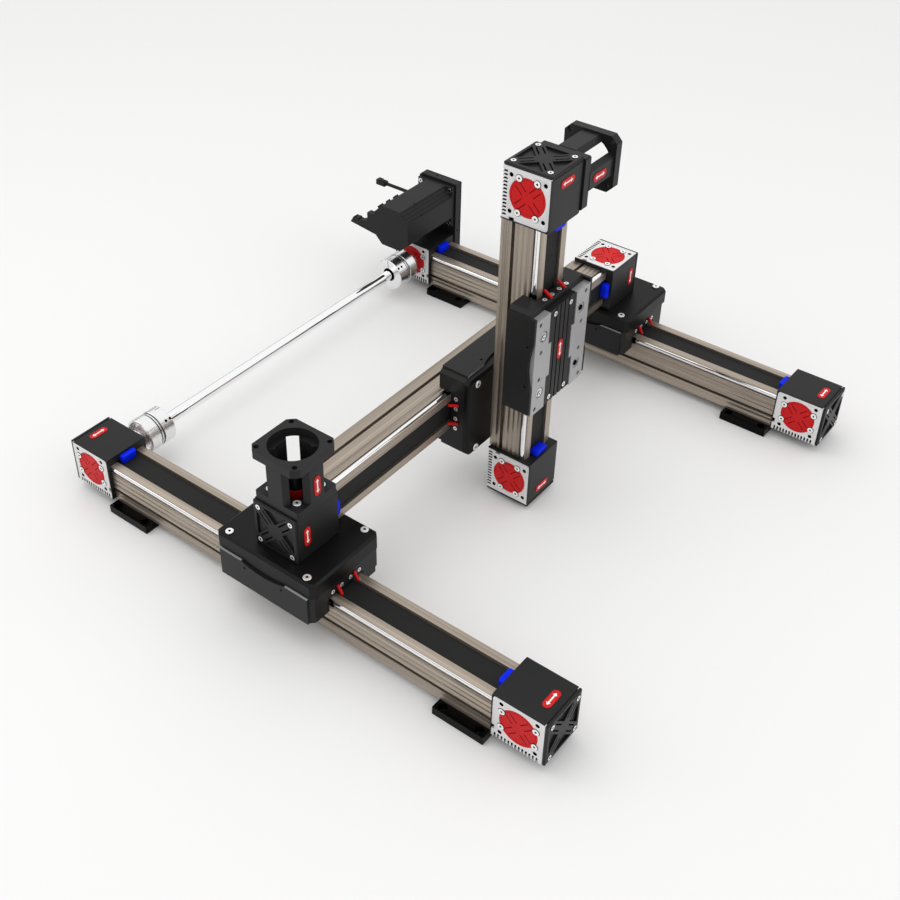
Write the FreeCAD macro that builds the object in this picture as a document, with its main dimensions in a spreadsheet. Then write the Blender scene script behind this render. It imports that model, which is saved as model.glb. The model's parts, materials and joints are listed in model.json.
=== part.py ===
import FreeCAD, Part

import math
import os
import re

import Sketcher

# Three-axis gantry of belt-driven linear modules, in millimetres.
# Origin: on the floor, at the centre of the four feet. +X along the rails, towards the idler ends.
# +Y from the near rail to the far rail. +Z up.
#
# Every module has its own frame. Its X runs along the profile, from the drive end to the idler end for
# the rails. Its Y runs across the profile. Its Z stands on the profile's back and points to the belt side.
# An end frame starts at the outer face of an end block, with X pointing inwards.

Vector = FreeCAD.Vector
Rotation = FreeCAD.Rotation
Placement = FreeCAD.Placement

doc = FreeCAD.newDocument("gantry")
sheet = doc.addObject("Spreadsheet::Sheet", "Sizes")

SIZES = {
    # how far a cutting shape stands out of what it cuts
    "overcut": 1,
    # modules
    "rail_length": 642,
    "rail_spacing": 589,
    "beam_length": 637,
    "upright_length": 409,
    # end blocks
    "housing_length": 58,
    "housing_width": 51,
    "block_height": 56.5,
    "plate_thick": 3,
    "plate_short": 1.5,
    "plate_inset": 0.4,
    "lip_thick": 1,
    "plate_corner": 4,
    "axle_inset": 27.5,
    "axle_height": 30,
    "cavity_radius": 17.5,
    "cavity_width": 28,
    "housing_chamfer": 1.5,
    # comb along the plate's lower edge
    "tooth_count": 13,
    "tooth_start": 4.5,
    "tooth_pitch": 3.9,
    "tooth_gap": 2,
    "tooth_depth": 5.8,
    "notch_low": 9.7,
    "notch_high": 16,
    "notch_depth": 3,
    # bearing covers
    "cover_radius": 21,
    "cover_gap": 0.2,
    "cross_width": 6,
    "cross_length": 35,
    "cross_depth": 0.8,
    # end caps
    "cap_margin": 0.5,
    "cap_size": "=housing_width + 2 * plate_thick - cap_margin",
    "cap_thick": 4,
    "cap_chamfer": 2,
    "cap_recess": 2,
    "cap_rim": 4,
    "cap_arm": 13,
    # bumpers
    "bumper_width": 21,
    "bumper_thick": 7.5,
    "bumper_low": 44.4,
    "bumper_high": 56,
    "bumper_round": 3,
    # profile
    "profile_width": "=housing_width - 4",
    "profile_top": 46.5,
    "back_drop": 2,
    "slot_low": 11,
    "slot_mouth": 4,
    "slot_lip": 2,
    "slot_depth": 6.5,
    "slot_flare": 2.5,
    "lip_inner": "=2 * rod_side - 12",
    "channel_floor": 37,
    "tunnel_width": 29,
    "tunnel_low": 12.5,
    "tunnel_high": 22.5,
    "flute_start": 17,
    "flute_pitch": 6.4,
    "flute_width": 5.6,
    "flute_depth": 0.8,
    "back_flute_start": 1,
    "back_flute_width": 7.5,
    # guide rods
    "rod_radius": 4,
    "rod_inset": 5.5,
    "rod_side": "=housing_width / 2 - rod_inset",
    "rod_height": 41.3,
    "rod_corner": 1.66,
    # belts and pulleys
    "belt_width": 25,
    "belt_thick": 2,
    "pulley_pitch_radius": 12.73,
    "pulley_gap": 0.3,
    "pulley_flange": 0.9,
    "pulley_flange_radius": 14.6,
    "shaft_radius": 6,
    "running_gap": 0.05,
    "end_gap": 0.2,
    # carriages
    "carriage_length": 127.5,
    "carriage_half_width": "=housing_width / 2 + 24.5",
    "carriage_low": 30.5,
    "carriage_high": 65,
    "carriage_front": 57,
    "carriage_wall": "=housing_width / 2",
    "carriage_ceiling": 47,
    "carriage_chamfer": 4,
    "side_cover_length": 119,
    "side_cover_thick": 3.4,
    "side_cover_low": 31,
    "scallop_half": 29.5,
    "scallop_depth": 5,
    "cover_hole_along": 50,
    "cover_hole_drop": 7.5,
    "cover_hole_radius": 1.5,
    "cover_hole_depth": 2,
    "wiper_side": 11.2,
    "wiper_width": 2.6,
    "wiper_reach": 6.5,
    "wiper_low": 47.2,
    "wiper_high": 57.5,
    "wiper_thick": 3.2,
    "wiper_lip": 1.4,
    "roller_inset": 23,
    "roller_neck": 6,
    "roller_rim": 9.5,
    "roller_stem": 3.5,
    "roller_pocket": 10.3,
    "roller_ceiling": 47.5,
    "roller_gap": 0.3,
    # adapter plates
    "adapter_length": 133,
    "adapter_width": "=2 * carriage_half_width + 2",
    "adapter_corner": 5,
    "adapter_chamfer": 2.5,
    "lower_adapter": 19,
    "upper_adapter": 8,
    # places of the modules at rest
    "gantry_rest": 0,
    "beam_offset": 22,
    "beam_shift": -9,
    "beam_carriage_rest": 3,
    "upright_rise": 89,
    "upright_carriage_rest": 3,
    # front of the upright's carriage
    "front_length": 119,
    "front_shift": -4,
    "strip_outer": "=carriage_half_width",
    "strip_inner": 24.8,
    "strip_middle_inner": 19.4,
    "strip_middle_half": 20.5,
    "front_seam": 0.4,
    "strip_hole_radius": 2.5,
    "eccentric_along": 71.2,
    "eccentric_across": 70,
    "eccentric_radius": 6.5,
    "eccentric_depth": 1.2,
    "eccentric_offset": 1.6,
    "outer_hole_across": 85,
    "outer_hole_along": 106,
    "inner_hole_across": 76,
    "inner_hole_along": 34.4,
    "front_cover_drop": 1,
    "front_groove_count": 4,
    "front_groove_pitch": 8,
    "front_groove_width": 2,
    "front_groove_depth": 1,
    # feet
    "foot_length": 60,
    "foot_width": "=housing_width + 21",
    "foot_height": 10,
    "foot_from_end": 90,
    "foot_hole_along": 43.6,
    "foot_hole_across": "=foot_width - 12",
    "foot_hole_radius": 2.75,
    "foot_head_radius": 4.6,
    "foot_head_depth": 5.5,
    # motor bells
    "bell_height": 64,
    "bell_base": 56.5,
    "bell_base_thick": 10,
    "bell_top": 62,
    "bell_top_thick": 10,
    "bell_top_corner": 7,
    "bell_column": 57.5,
    "bell_column_corner": 19,
    "bell_window": 12.5,
    "bell_bore_radius": 19,
    "pilot_radius": 25,
    "bolt_square": 49.5,
    "bolt_hole_radius": 2.75,
    "bell_coupling_radius": 11,
    "bell_coupling_start": 12,
    "bell_coupling_length": 22,
    "bell_coupling_spider": 8,
    "bell_coupling_neck": 9.5,
    "bell_coupling_seam": 1,
    # cross shaft and its couplings
    "cross_radius": 7,
    "hub_radius": 12,
    "hub_start": 0.5,
    "ring_start": 16.5,
    "cup_radius": 19,
    "cup_floor": 22,
    "ring_radius": 22,
    "ring_end": 31.5,
    "neck_radius": 18,
    "disc_radius": 21.3,
    "disc_start": 33,
    "disc_stop": 35,
    "disc_end": 36.5,
    "face_radius": 9.5,
    "face_depth": 1,
    "coupling_end": 53,
    # belt box and servo
    "box_width": 65,
    "box_depth": 13,
    "box_rise": 135,
    "box_wall": 3.5,
    "box_chamfer": 4,
    "lid_thick": 2.5,
    "servo_height": 101,
    "servo_size": 60,
    "servo_bevel": 14,
    "servo_flange": 6,
    "servo_length": 105,
    "servo_pulley_radius": 10,
    "servo_bore_radius": 11,
    "driven_pulley_radius": 20,
    "reduction_belt_thick": 1.5,
    "reduction_belt_width": 4.5,
    "connector_reach": 43.5,
    "connector_root": 8,
    "connector_depth": 9,
    "connector_low": 81.5,
    "connector_tip": 87.5,
    "connector_split": 97,
    "connector_high": 112,
    "connector_short": 12,
    # servo cable
    "cable_radius": 2.5,
    "cable_length": 51,
    "cable_height": 105,
    "cable_from_flange": 13,
    "plug_length": 17.5,
    "plug_width": 9,
    "plug_thick": 8,
}

for line, name in enumerate(SIZES, start=1):
    sheet.set("A%d" % line, name)
    sheet.setAlias("B%d" % line, name)
for line, number in enumerate(SIZES.values(), start=1):
    sheet.set("B%d" % line, str(number))
doc.recompute()


def bound(text):
    """Expression text with each size name led to its cell."""
    return re.sub(r"[a-z_]+", lambda m: "Sizes." + m.group(0) if m.group(0) in SIZES else m.group(0), text)


def value(text):
    return float(sheet.evalExpression(bound(text)))


def bind(item, **sizes):
    for name, text in sizes.items():
        item.setExpression(name, bound(text))
    return item


def put(item, place, turn=None):
    """Set an object's place from three expressions and a rotation."""
    item.Placement = Placement(Vector(*[value(text) for text in place]), turn or Rotation())
    for axis, text in zip("xyz", place):
        item.setExpression(".Placement.Base." + axis, bound(text))
    return item


# Sketches

def draw(sketch, loops):
    """Fill a sketch with closed outlines and circles whose coordinates are bound to the sheet."""
    names = []
    for loop in loops:
        if loop[0] == "circle":
            _, across, up, radius = loop
            edge = sketch.addGeometry(Part.Circle(Vector(value(across), value(up), 0), Vector(0, 0, 1),
                                                  value(radius)), False)
            for kind, text in (("DistanceX", across), ("DistanceY", up)):
                names.append((sketch.addConstraint(Sketcher.Constraint(kind, edge, 3, value(text))), text))
            names.append((sketch.addConstraint(Sketcher.Constraint("Radius", edge, value(radius))), radius))
            continue
        spots = [Vector(value(across), value(up), 0) for across, up in loop]
        count = len(spots)
        lines = [Part.LineSegment(spots[i], spots[(i + 1) % count]) for i in range(count)]
        first = sketch.addGeometry(lines, False)
        first = first[0] if isinstance(first, (list, tuple)) else first
        for i in range(count):
            follower = first + (i + 1) % count
            sketch.addConstraint(Sketcher.Constraint("Coincident", first + i, 2, follower, 1))
        for i, (across, up) in enumerate(loop):
            for kind, text in (("DistanceX", across), ("DistanceY", up)):
                pinned = sketch.addConstraint(Sketcher.Constraint(kind, first + i, 1, value(text)))
                names.append((pinned, text))
    for index, text in names:
        sketch.setExpression("Constraints[%d]" % index, bound(text))
    return sketch


def stadium(sketch, start, end, height, radius):
    """A belt path: two half circles about start and end, joined by straight runs."""
    x0, x1, y, r = value(start), value(end), value(height), value(radius)
    half = math.pi / 2
    arcs = [Part.ArcOfCircle(Part.Circle(Vector(x0, y, 0), Vector(0, 0, 1), r), half, 3 * half),
            Part.ArcOfCircle(Part.Circle(Vector(x1, y, 0), Vector(0, 0, 1), r), -half, half)]
    low = Part.LineSegment(Vector(x0, y - r, 0), Vector(x1, y - r, 0))
    high = Part.LineSegment(Vector(x1, y + r, 0), Vector(x0, y + r, 0))
    left = sketch.addGeometry(arcs[0], False)
    bottom = sketch.addGeometry(low, False)
    right = sketch.addGeometry(arcs[1], False)
    top = sketch.addGeometry(high, False)
    for one, end_one, two, end_two in ((left, 2, bottom, 1), (bottom, 2, right, 1),
                                       (right, 2, top, 1), (top, 2, left, 1)):
        sketch.addConstraint(Sketcher.Constraint("Tangent", one, end_one, two, end_two))
    sketch.addConstraint(Sketcher.Constraint("Equal", left, right))
    pins = [("DistanceX", left, start), ("DistanceY", left, height), ("DistanceX", right, end),
            ("DistanceY", right, height)]
    for kind, arc, text in pins[:3]:
        index = sketch.addConstraint(Sketcher.Constraint(kind, arc, 3, value(text)))
        sketch.setExpression("Constraints[%d]" % index, bound(text))
    index = sketch.addConstraint(Sketcher.Constraint("Radius", left, r))
    sketch.setExpression("Constraints[%d]" % index, bound(radius))
    sketch.addConstraint(Sketcher.Constraint("Horizontal", bottom))


def body_sketch(body, plane, loops, name="Outline", lift=None):
    sketch = body.newObject("Sketcher::SketchObject", name)
    support = [item for item in body.Origin.OriginFeatures if item.Role == plane][0]
    sketch.AttachmentSupport = [(support, "")]
    sketch.MapMode = "FlatFace"
    if lift:
        sketch.AttachmentOffset = Placement(Vector(0, 0, value(lift)), Rotation())
        sketch.setExpression(".AttachmentOffset.Base.z", bound(lift))
    return draw(sketch, loops)


def pad(body, plane, loops, length, name="Pad", flip=False, lift=None):
    feature = body.newObject("PartDesign::Pad", name)
    feature.Profile = body_sketch(body, plane, loops, name + "Outline", lift)
    feature.Reversed = flip
    bind(feature, Length=length)
    doc.recompute()
    return feature


def pocket(body, plane, loops, depth=None, name="Pocket", flip=False, lift=None):
    before = body.Shape.Volume
    feature = body.newObject("PartDesign::Pocket", name)
    feature.Profile = body_sketch(body, plane, loops, name + "Outline", lift)
    feature.Reversed = flip
    if depth:
        bind(feature, Length=depth)
    else:
        feature.Type = "ThroughAll"
    doc.recompute()
    if body.Shape.Volume > before - 0.01:
        raise RuntimeError("%s of %s cuts nothing" % (name, body.Label))
    return feature


def revolve(body, plane, loops, axis_role, name="Revolution"):
    feature = body.newObject("PartDesign::Revolution", name)
    feature.Profile = body_sketch(body, plane, loops, name + "Outline")
    axis = [item for item in body.Origin.OriginFeatures if item.Role == axis_role][0]
    feature.ReferenceAxis = (axis, [""])
    feature.Angle = 360
    doc.recompute()
    return feature


def repeat_along(body, feature, axis_role, length, count, name="Row"):
    row = body.newObject("PartDesign::LinearPattern", name)
    row.Originals = [feature]
    axis = [item for item in body.Origin.OriginFeatures if item.Role == axis_role][0]
    row.Direction = (axis, [""])
    bind(row, Length=length, Occurrences=count)
    body.Tip = row
    doc.recompute()
    return row


def repeat_around(body, feature, axis_role, count, name="Ring"):
    ring = body.newObject("PartDesign::PolarPattern", name)
    ring.Originals = [feature]
    axis = [item for item in body.Origin.OriginFeatures if item.Role == axis_role][0]
    ring.Axis = (axis, [""])
    ring.Angle = 360
    ring.Occurrences = count
    body.Tip = ring
    doc.recompute()
    return ring


def edges_where(shape, test):
    """Names of the straight edges whose two ends both pass a test."""
    found = []
    for number, edge in enumerate(shape.Edges, start=1):
        ends = [vertex.Point for vertex in edge.Vertexes]
        if len(ends) == 2 and test(*ends):
            found.append("Edge%d" % number)
    return found


def chamfer(body, size, test, name="Chamfer"):
    base = body.Tip
    feature = body.newObject("PartDesign::Chamfer", name)
    feature.Base = (base, edges_where(base.Shape, test))
    bind(feature, Size=size)
    doc.recompute()
    return feature


def new_body(name):
    return doc.addObject("PartDesign::Body", name)


def box(name, length, width, height, place):
    item = doc.addObject("Part::Box", name)
    bind(item, Length=length, Width=width, Height=height)
    return put(item, place)


def rod(name, radius, height, place=("0", "0", "0"), turn=None):
    item = doc.addObject("Part::Cylinder", name)
    bind(item, Radius=radius, Height=height)
    return put(item, place, turn)


def fuse(name, items):
    item = doc.addObject("Part::MultiFuse", name)
    item.Shapes = items
    return item


def cut(name, base, tool):
    item = doc.addObject("Part::Cut", name)
    item.Base = base
    item.Tool = tool
    return item


def run_section(name, sketch, length):
    """A section run both ways from the middle of its module."""
    item = doc.addObject("Part::Extrusion", name)
    item.Base = sketch
    item.DirMode = "Normal"
    item.Solid = True
    item.Symmetric = True
    bind(item, LengthFwd=length)
    return item


# Turns. Each maps a piece's own axes to the axes of what carries it.
ALONG_X = Rotation(Vector(1, 1, 1), 120)
HALF_TURN = Rotation(Vector(0, 0, 1), 180)
Z_TO_Y = Rotation(Vector(1, 0, 0), -90)
Z_TO_MINUS_Y = Rotation(Vector(1, 0, 0), 90)


# The four modules

class Module:
    """One linear module: where its middle is, how it is turned, how long it is."""

    def __init__(self, name, length, middle, turn, axes):
        self.name = name
        self.length = length
        self.middle = middle
        self.turn = turn
        self.axes = axes

    def spot(self, along="0", across="0", up="0"):
        """A point of the module's frame, in the gantry's frame."""
        own = {"u": along, "v": across, "w": up}
        place = []
        for start, axis in zip(self.middle, self.axes):
            sign = "-" if axis.startswith("-") else "+"
            place.append("%s %s (%s)" % (start, sign, own[axis[-1]]))
        return tuple(place)

    def end_spot(self, end, along="0", across="0", up="0"):
        """A point of an end frame. End 0 is where the module's X starts, end 1 where it stops."""
        if end == 0:
            return self.spot("0 - %s / 2 + (%s)" % (self.length, along), across, up)
        return self.spot("%s / 2 - (%s)" % (self.length, along), "0 - (%s)" % across, up)

    def end_turn(self, end):
        return self.turn * HALF_TURN if end else self.turn


BASE_HEIGHT = "foot_height + back_drop"
BEAM_BACK = "gantry_rest - beam_offset"
BEAM_AXIS = BASE_HEIGHT + " + carriage_high + lower_adapter + housing_width / 2 + plate_thick"
UPRIGHT_BACK = BEAM_BACK + " + carriage_high + upper_adapter + back_drop"
UPRIGHT_SIDE = "beam_shift + beam_carriage_rest"
TURN_BEAM = Rotation(Vector(1, 1, 1), 120)
TURN_UPRIGHT = Rotation(Vector(1, 0, 1), 180)

near_rail = Module("near_rail", "rail_length", ("0", "0 - rail_spacing / 2", BASE_HEIGHT),
                   Rotation(), ("u", "v", "w"))
far_rail = Module("far_rail", "rail_length", ("0", "rail_spacing / 2", BASE_HEIGHT),
                  Rotation(), ("u", "v", "w"))
beam = Module("beam", "beam_length", (BEAM_BACK, "beam_shift", BEAM_AXIS), TURN_BEAM, ("w", "u", "v"))
upright = Module("z", "upright_length", (UPRIGHT_BACK, UPRIGHT_SIDE, BEAM_AXIS + " + upright_rise"),
                 TURN_UPRIGHT, ("w", "-v", "u"))
RAILS = (near_rail, far_rail)

nodes = []


def node(label, pieces):
    """One named sub-part: placed copies of source pieces, each a solid of its own."""
    links = []
    for number, (source, place, turn) in enumerate(pieces, start=1):
        link = doc.addObject("App::Link", "%s_%d" % (label, number))
        link.LinkedObject = source
        links.append(put(link, place, turn))
    group = doc.addObject("Part::Compound", label)
    group.Links = links
    group.Label = label
    nodes.append(group)
    return group


# Source pieces of a module

ROOT_TWO = "sqrt(2)"

FLUTES = 3


def make_profile_section():
    """Extruded profile: T-slots and fluted sides, rod seats, belt channel and return tunnel."""
    flute_rim = "profile_width / 2"
    flute_bottom = "profile_width / 2 - flute_depth"
    side = [(flute_rim, "0 - back_drop"),
            (flute_rim, "back_flute_start"),
            (flute_bottom, "back_flute_start + back_flute_width / 2"),
            (flute_rim, "back_flute_start + back_flute_width"),
            (flute_rim, "slot_low"),
            ("profile_width / 2 - slot_lip", "slot_low"),
            ("profile_width / 2 - slot_lip", "slot_low - slot_flare"),
            ("profile_width / 2 - slot_depth", "slot_low - slot_flare"),
            ("profile_width / 2 - slot_depth", "slot_low + slot_mouth + slot_flare"),
            ("profile_width / 2 - slot_lip", "slot_low + slot_mouth + slot_flare"),
            ("profile_width / 2 - slot_lip", "slot_low + slot_mouth"),
            ("profile_width / 2", "slot_low + slot_mouth")]
    for number in range(FLUTES):
        low = "flute_start + %d * flute_pitch" % number
        side += [(flute_rim, low), (flute_bottom, low + " + flute_width / 2"),
                 (flute_rim, low + " + flute_width")]
    side += [("profile_width / 2", "rod_height - rod_radius"),
             ("rod_side - rod_corner", "rod_height - rod_radius"),
             ("rod_side - rod_radius", "rod_height - rod_corner"),
             ("rod_side - rod_radius", "rod_height + rod_corner"),
             ("rod_side - rod_corner", "rod_height + rod_radius"),
             ("profile_width / 2", "rod_height + rod_radius"),
             ("profile_width / 2", "profile_top"),
             ("lip_inner / 2", "profile_top"),
             ("lip_inner / 2", "channel_floor")]
    mirrored = [("0 - (%s)" % across, up) for across, up in reversed(side)]
    tunnel = [("0 - tunnel_width / 2", "tunnel_low"), ("tunnel_width / 2", "tunnel_low"),
              ("tunnel_width / 2", "tunnel_high"), ("0 - tunnel_width / 2", "tunnel_high")]
    sketch = doc.addObject("Sketcher::SketchObject", "ProfileSection")
    sketch.Placement = Placement(Vector(), ALONG_X)
    return draw(sketch, [side + mirrored, tunnel])


def make_belt(name, length):
    """Closed flat belt round both pulleys: a loop in the module's X and Z."""
    sketch = doc.addObject("Sketcher::SketchObject", name + "Loop")
    sketch.Placement = Placement(Vector(), Rotation(Vector(1, 0, 0), 90))
    ends = ("0 - %s / 2 + axle_inset" % length, "%s / 2 - axle_inset" % length)
    for radius in ("pulley_pitch_radius + belt_thick / 2", "pulley_pitch_radius - belt_thick / 2"):
        stadium(sketch, ends[0], ends[1], "axle_height", radius)
    return run_section(name, sketch, "belt_width")


def make_housing():
    """Block housing: seats for the side plates, room for the pulley, mouth to the profile, shaft bore."""
    body = new_body("Housing")
    half = "(housing_width / 2 + plate_thick)"
    pad(body, "XY_Plane", [[("0", "0 - " + half), ("housing_length", "0 - " + half),
                            ("housing_length", half), ("0", half)]], "block_height")
    seat = [("0", "0"), ("housing_length - plate_short", "0"),
            ("housing_length - plate_short", "block_height - lip_thick"), ("0", "block_height - lip_thick")]
    pocket(body, "XZ_Plane", [seat], "plate_thick", "PlateSeat", lift=half)
    pocket(body, "XZ_Plane", [seat], "plate_thick", "OtherPlateSeat", lift="0 - housing_width / 2")
    pocket(body, "XZ_Plane", [("circle", "axle_inset", "axle_height", "cavity_radius")],
           "cavity_width", "PulleyRoom", lift="cavity_width / 2")
    pocket(body, "XZ_Plane", [[("axle_inset", "axle_height - cavity_radius"),
                               ("housing_length", "axle_height - cavity_radius"),
                               ("housing_length", "axle_height + cavity_radius"),
                               ("axle_inset", "axle_height + cavity_radius")]],
           "cavity_width", "BeltMouth", lift="cavity_width / 2")
    pocket(body, "XZ_Plane", [("circle", "axle_inset", "axle_height", "shaft_radius + running_gap")],
           "housing_width", "ShaftBore", lift="housing_width / 2")
    chamfer(body, "housing_chamfer", lambda a, b: abs(a.x - b.x) < 0.01 and abs(a.z - b.z) < 0.01
            and min(a.z, value("block_height") - a.z) < 0.01 and a.x < 0.01)
    return body


def make_side_plate():
    """Silver side plate with its comb edge, cover opening, notch and cut corner."""
    body = new_body("SidePlate")
    low = "plate_inset"
    high = "block_height - lip_thick"
    inner = "housing_length - plate_short"
    outline = [("0", low), (inner, low), (inner, "notch_low"),
               (inner + " - notch_depth", "notch_low"), (inner + " - notch_depth", "notch_high"),
               (inner, "notch_high"), (inner, high + " - plate_corner"),
               (inner + " - plate_corner", high), ("0", high)]
    hole = ("circle", "axle_inset", "axle_height", "cover_radius + cover_gap")
    pad(body, "XZ_Plane", [outline, hole], "plate_thick", flip=True)
    gap = pocket(body, "XZ_Plane", [[("tooth_start", low + " - overcut"), ("tooth_start + tooth_gap", low + " - overcut"),
                                     ("tooth_start + tooth_gap", low + " + tooth_depth"),
                                     ("tooth_start", low + " + tooth_depth")]], None, "ToothGap")
    repeat_along(body, gap, "X_Axis", "tooth_pitch * (tooth_count - 1)", "tooth_count")
    return body


def make_cover():
    """Red bearing cover with a sunk diagonal cross."""
    body = new_body("Cover")
    pad(body, "XY_Plane", [("circle", "0", "0", "cover_radius")], "plate_thick", "Disc")
    arm = "(cross_length / 2)"
    wide = "(cross_width / 2)"
    star = []
    for quarter in range(4):
        for x, y in ((arm, "0 - " + wide), (arm, wide), (wide, wide)):
            for _ in range(quarter):
                x, y = "0 - (%s)" % y, x
            star.append(("((%s) - (%s)) / %s" % (x, y, ROOT_TWO), "((%s) + (%s)) / %s" % (x, y, ROOT_TWO)))
    pocket(body, "XY_Plane", [star], "cross_depth", "Cross", lift="plate_thick")
    return body


def make_end_cap():
    """End cap with a bevelled rim and four sunk fields that leave a broad X between them."""
    body = new_body("EndCap")
    half = "cap_size / 2"
    pad(body, "XY_Plane", [[("0 - " + half, "0 - " + half), (half, "0 - " + half),
                            (half, half), ("0 - " + half, half)]], "cap_thick")
    chamfer(body, "cap_chamfer", lambda a, b: a.z > value("cap_thick") - 0.01
            and b.z > value("cap_thick") - 0.01)
    outer = "cap_size / 2 - cap_rim"
    arm = "cap_arm / " + ROOT_TWO
    reach = "(cap_size / 2 - cap_rim - %s)" % arm
    field = [("0 - " + reach, outer), ("0", arm), (reach, outer)]
    sunk = pocket(body, "XY_Plane", [field], "cap_recess", "Field", flip=False, lift="cap_thick")
    repeat_around(body, sunk, "Z_Axis", 4)
    return body


def make_bumper():
    """Soft stop on the housing's inner face, above the belt."""
    body = new_body("Bumper")
    half = "bumper_width / 2"
    edge = "bumper_round"
    pad(body, "XY_Plane", [[("0", "0 - " + half), ("bumper_thick - " + edge, "0 - " + half),
                            ("bumper_thick", "0 - %s + %s" % (half, edge)),
                            ("bumper_thick", half + " - " + edge),
                            ("bumper_thick - " + edge, half), ("0", half)]],
        "bumper_high - bumper_low")
    return body


def make_pulley(name, low_end, high_end):
    """Flanged belt pulley on its shaft, about the piece's Z."""
    body = new_body(name)
    tread = "pulley_pitch_radius - belt_thick / 2 - pulley_gap"
    half = "belt_width / 2 + pulley_gap"
    rim = half + " + pulley_flange"
    points = [("0", low_end), ("shaft_radius", low_end), ("shaft_radius", "0 - (%s)" % rim),
              ("pulley_flange_radius", "0 - (%s)" % rim), ("pulley_flange_radius", "0 - (%s)" % half),
              (tread, "0 - (%s)" % half), (tread, half), ("pulley_flange_radius", half),
              ("pulley_flange_radius", rim), ("shaft_radius", rim), ("shaft_radius", high_end),
              ("0", high_end)]
    revolve(body, "XZ_Plane", [points], "Z_Axis")
    return body


profile_section = make_profile_section()
profiles = {}
rods = {}
belts = {}
for key, length in (("rail", "rail_length"), ("beam", "beam_length"), ("z", "upright_length")):
    between = length + " - 2 * housing_length"
    profiles[key] = run_section("Profile_" + key, profile_section, between)
    rods[key] = rod("Rod_" + key, "rod_radius", between)
    belts[key] = make_belt("Belt_" + key, length)

housing = make_housing()
side_plate = make_side_plate()
cover = make_cover()
end_cap = make_end_cap()
bumper = make_bumper()
cover_bore = rod("CoverBore", "shaft_radius + running_gap", "plate_thick")
bored_cover = cut("BoredCover", cover, cover_bore)

SHORT_END = "housing_width / 2 - end_gap"
COUPLING_START = "housing_width / 2 + plate_thick + bell_coupling_start"
drive_pulley = make_pulley("BellPulley", "0 - (%s)" % SHORT_END, COUPLING_START + " + bell_coupling_length / 2")
idler_pulley = make_pulley("IdlerPulley", "0 - (%s)" % SHORT_END, SHORT_END)
doc.recompute()


def make_motor_coupling():
    """Coupling in the motor bell: spider ring, neck and clamp hub with an open bore, about the shaft."""
    body = new_body("MotorCoupling")
    start, rim = COUPLING_START, "bell_coupling_radius"
    seam = start + " + bell_coupling_spider"
    stop = start + " + bell_coupling_length"
    revolve(body, "XZ_Plane", [[("shaft_radius", start), (rim, start), (rim, seam),
                                ("bell_coupling_neck", seam),
                                ("bell_coupling_neck", seam + " + bell_coupling_seam"),
                                (rim, seam + " + bell_coupling_seam"), (rim, stop),
                                ("shaft_radius", stop)]], "Z_Axis")
    return body


motor_coupling = make_motor_coupling()


def key_of(module):
    return "rail" if module in RAILS else module.name


def rods_of(module):
    pieces = []
    start = "0 - (%s - 2 * housing_length) / 2" % module.length
    for side in ("rod_side", "0 - rod_side"):
        pieces.append((rods[key_of(module)], module.spot(start, side, "rod_height"),
                       module.turn * Rotation(Vector(0, 1, 0), 90)))
    return pieces


def housings_of(module):
    return [(housing, module.end_spot(end), module.end_turn(end)) for end in (0, 1)]


def side_plates_of(module, dark=(), take_dark=False):
    """Side plates of both blocks. The dark ones face a motor bell or stand on an adapter plate."""
    pieces = []
    for end in (0, 1):
        for sign in (1, -1):
            if ((end, sign) in dark) != take_dark:
                continue
            own_sign = sign if end == 0 else -sign
            side = "housing_width / 2" if own_sign > 0 else "0 - housing_width / 2 - plate_thick"
            pieces.append((side_plate, module.end_spot(end, "0", side, "0"), module.end_turn(end)))
    return pieces


def covers_of(module, bored=(), bare=()):
    """Bearing covers of both ends. Sides are (end, sign), with the sign in the module's own Y."""
    pieces = []
    for end in (0, 1):
        for sign in (1, -1):
            if (end, sign) in bare:
                continue
            source = bored_cover if (end, sign) in bored else cover
            along = "0 - %s / 2 + axle_inset" % module.length if end == 0 else module.length + " / 2 - axle_inset"
            across = "housing_width / 2" if sign > 0 else "0 - housing_width / 2"
            turn = module.turn * (Z_TO_Y if sign > 0 else Z_TO_MINUS_Y)
            pieces.append((source, module.spot(along, across, "axle_height"), turn))
    return pieces


def caps_of(module):
    outward = Rotation(Vector(0, 1, 0), -90)
    return [(end_cap, module.end_spot(end, "0", "0", "block_height / 2"), module.end_turn(end) * outward)
            for end in (0, 1)]


def bumpers_of(module):
    return [(bumper, module.end_spot(end, "housing_length", "0", "bumper_low"), module.end_turn(end))
            for end in (0, 1)]


def pulley_of(module, source, end, flip=False):
    along = "0 - %s / 2 + axle_inset" % module.length if end == 0 else module.length + " / 2 - axle_inset"
    turn = module.turn * (Z_TO_MINUS_Y if flip else Z_TO_Y)
    return [(source, module.spot(along, "0", "axle_height"), turn)]


# Rails

for rail in RAILS:
    node(rail.name + "_profile", [(profiles["rail"], rail.spot(), rail.turn)])
node("rail_guide_rods", rods_of(near_rail) + rods_of(far_rail))
node("rail_housings", housings_of(near_rail) + housings_of(far_rail))
node("rail_side_plates", side_plates_of(near_rail) + side_plates_of(far_rail))
node("rail_bearing_covers", covers_of(near_rail, bored=((0, 1),))
     + covers_of(far_rail, bored=((0, -1),), bare=((0, 1),)))
node("rail_end_caps", caps_of(near_rail) + caps_of(far_rail))
node("rail_bumpers", bumpers_of(near_rail) + bumpers_of(far_rail))
node("rail_belts", [(belts["rail"], rail.spot(), rail.turn) for rail in RAILS])
node("near_idler_pulley", pulley_of(near_rail, idler_pulley, 1))
node("far_idler_pulley", pulley_of(far_rail, idler_pulley, 1))


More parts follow.
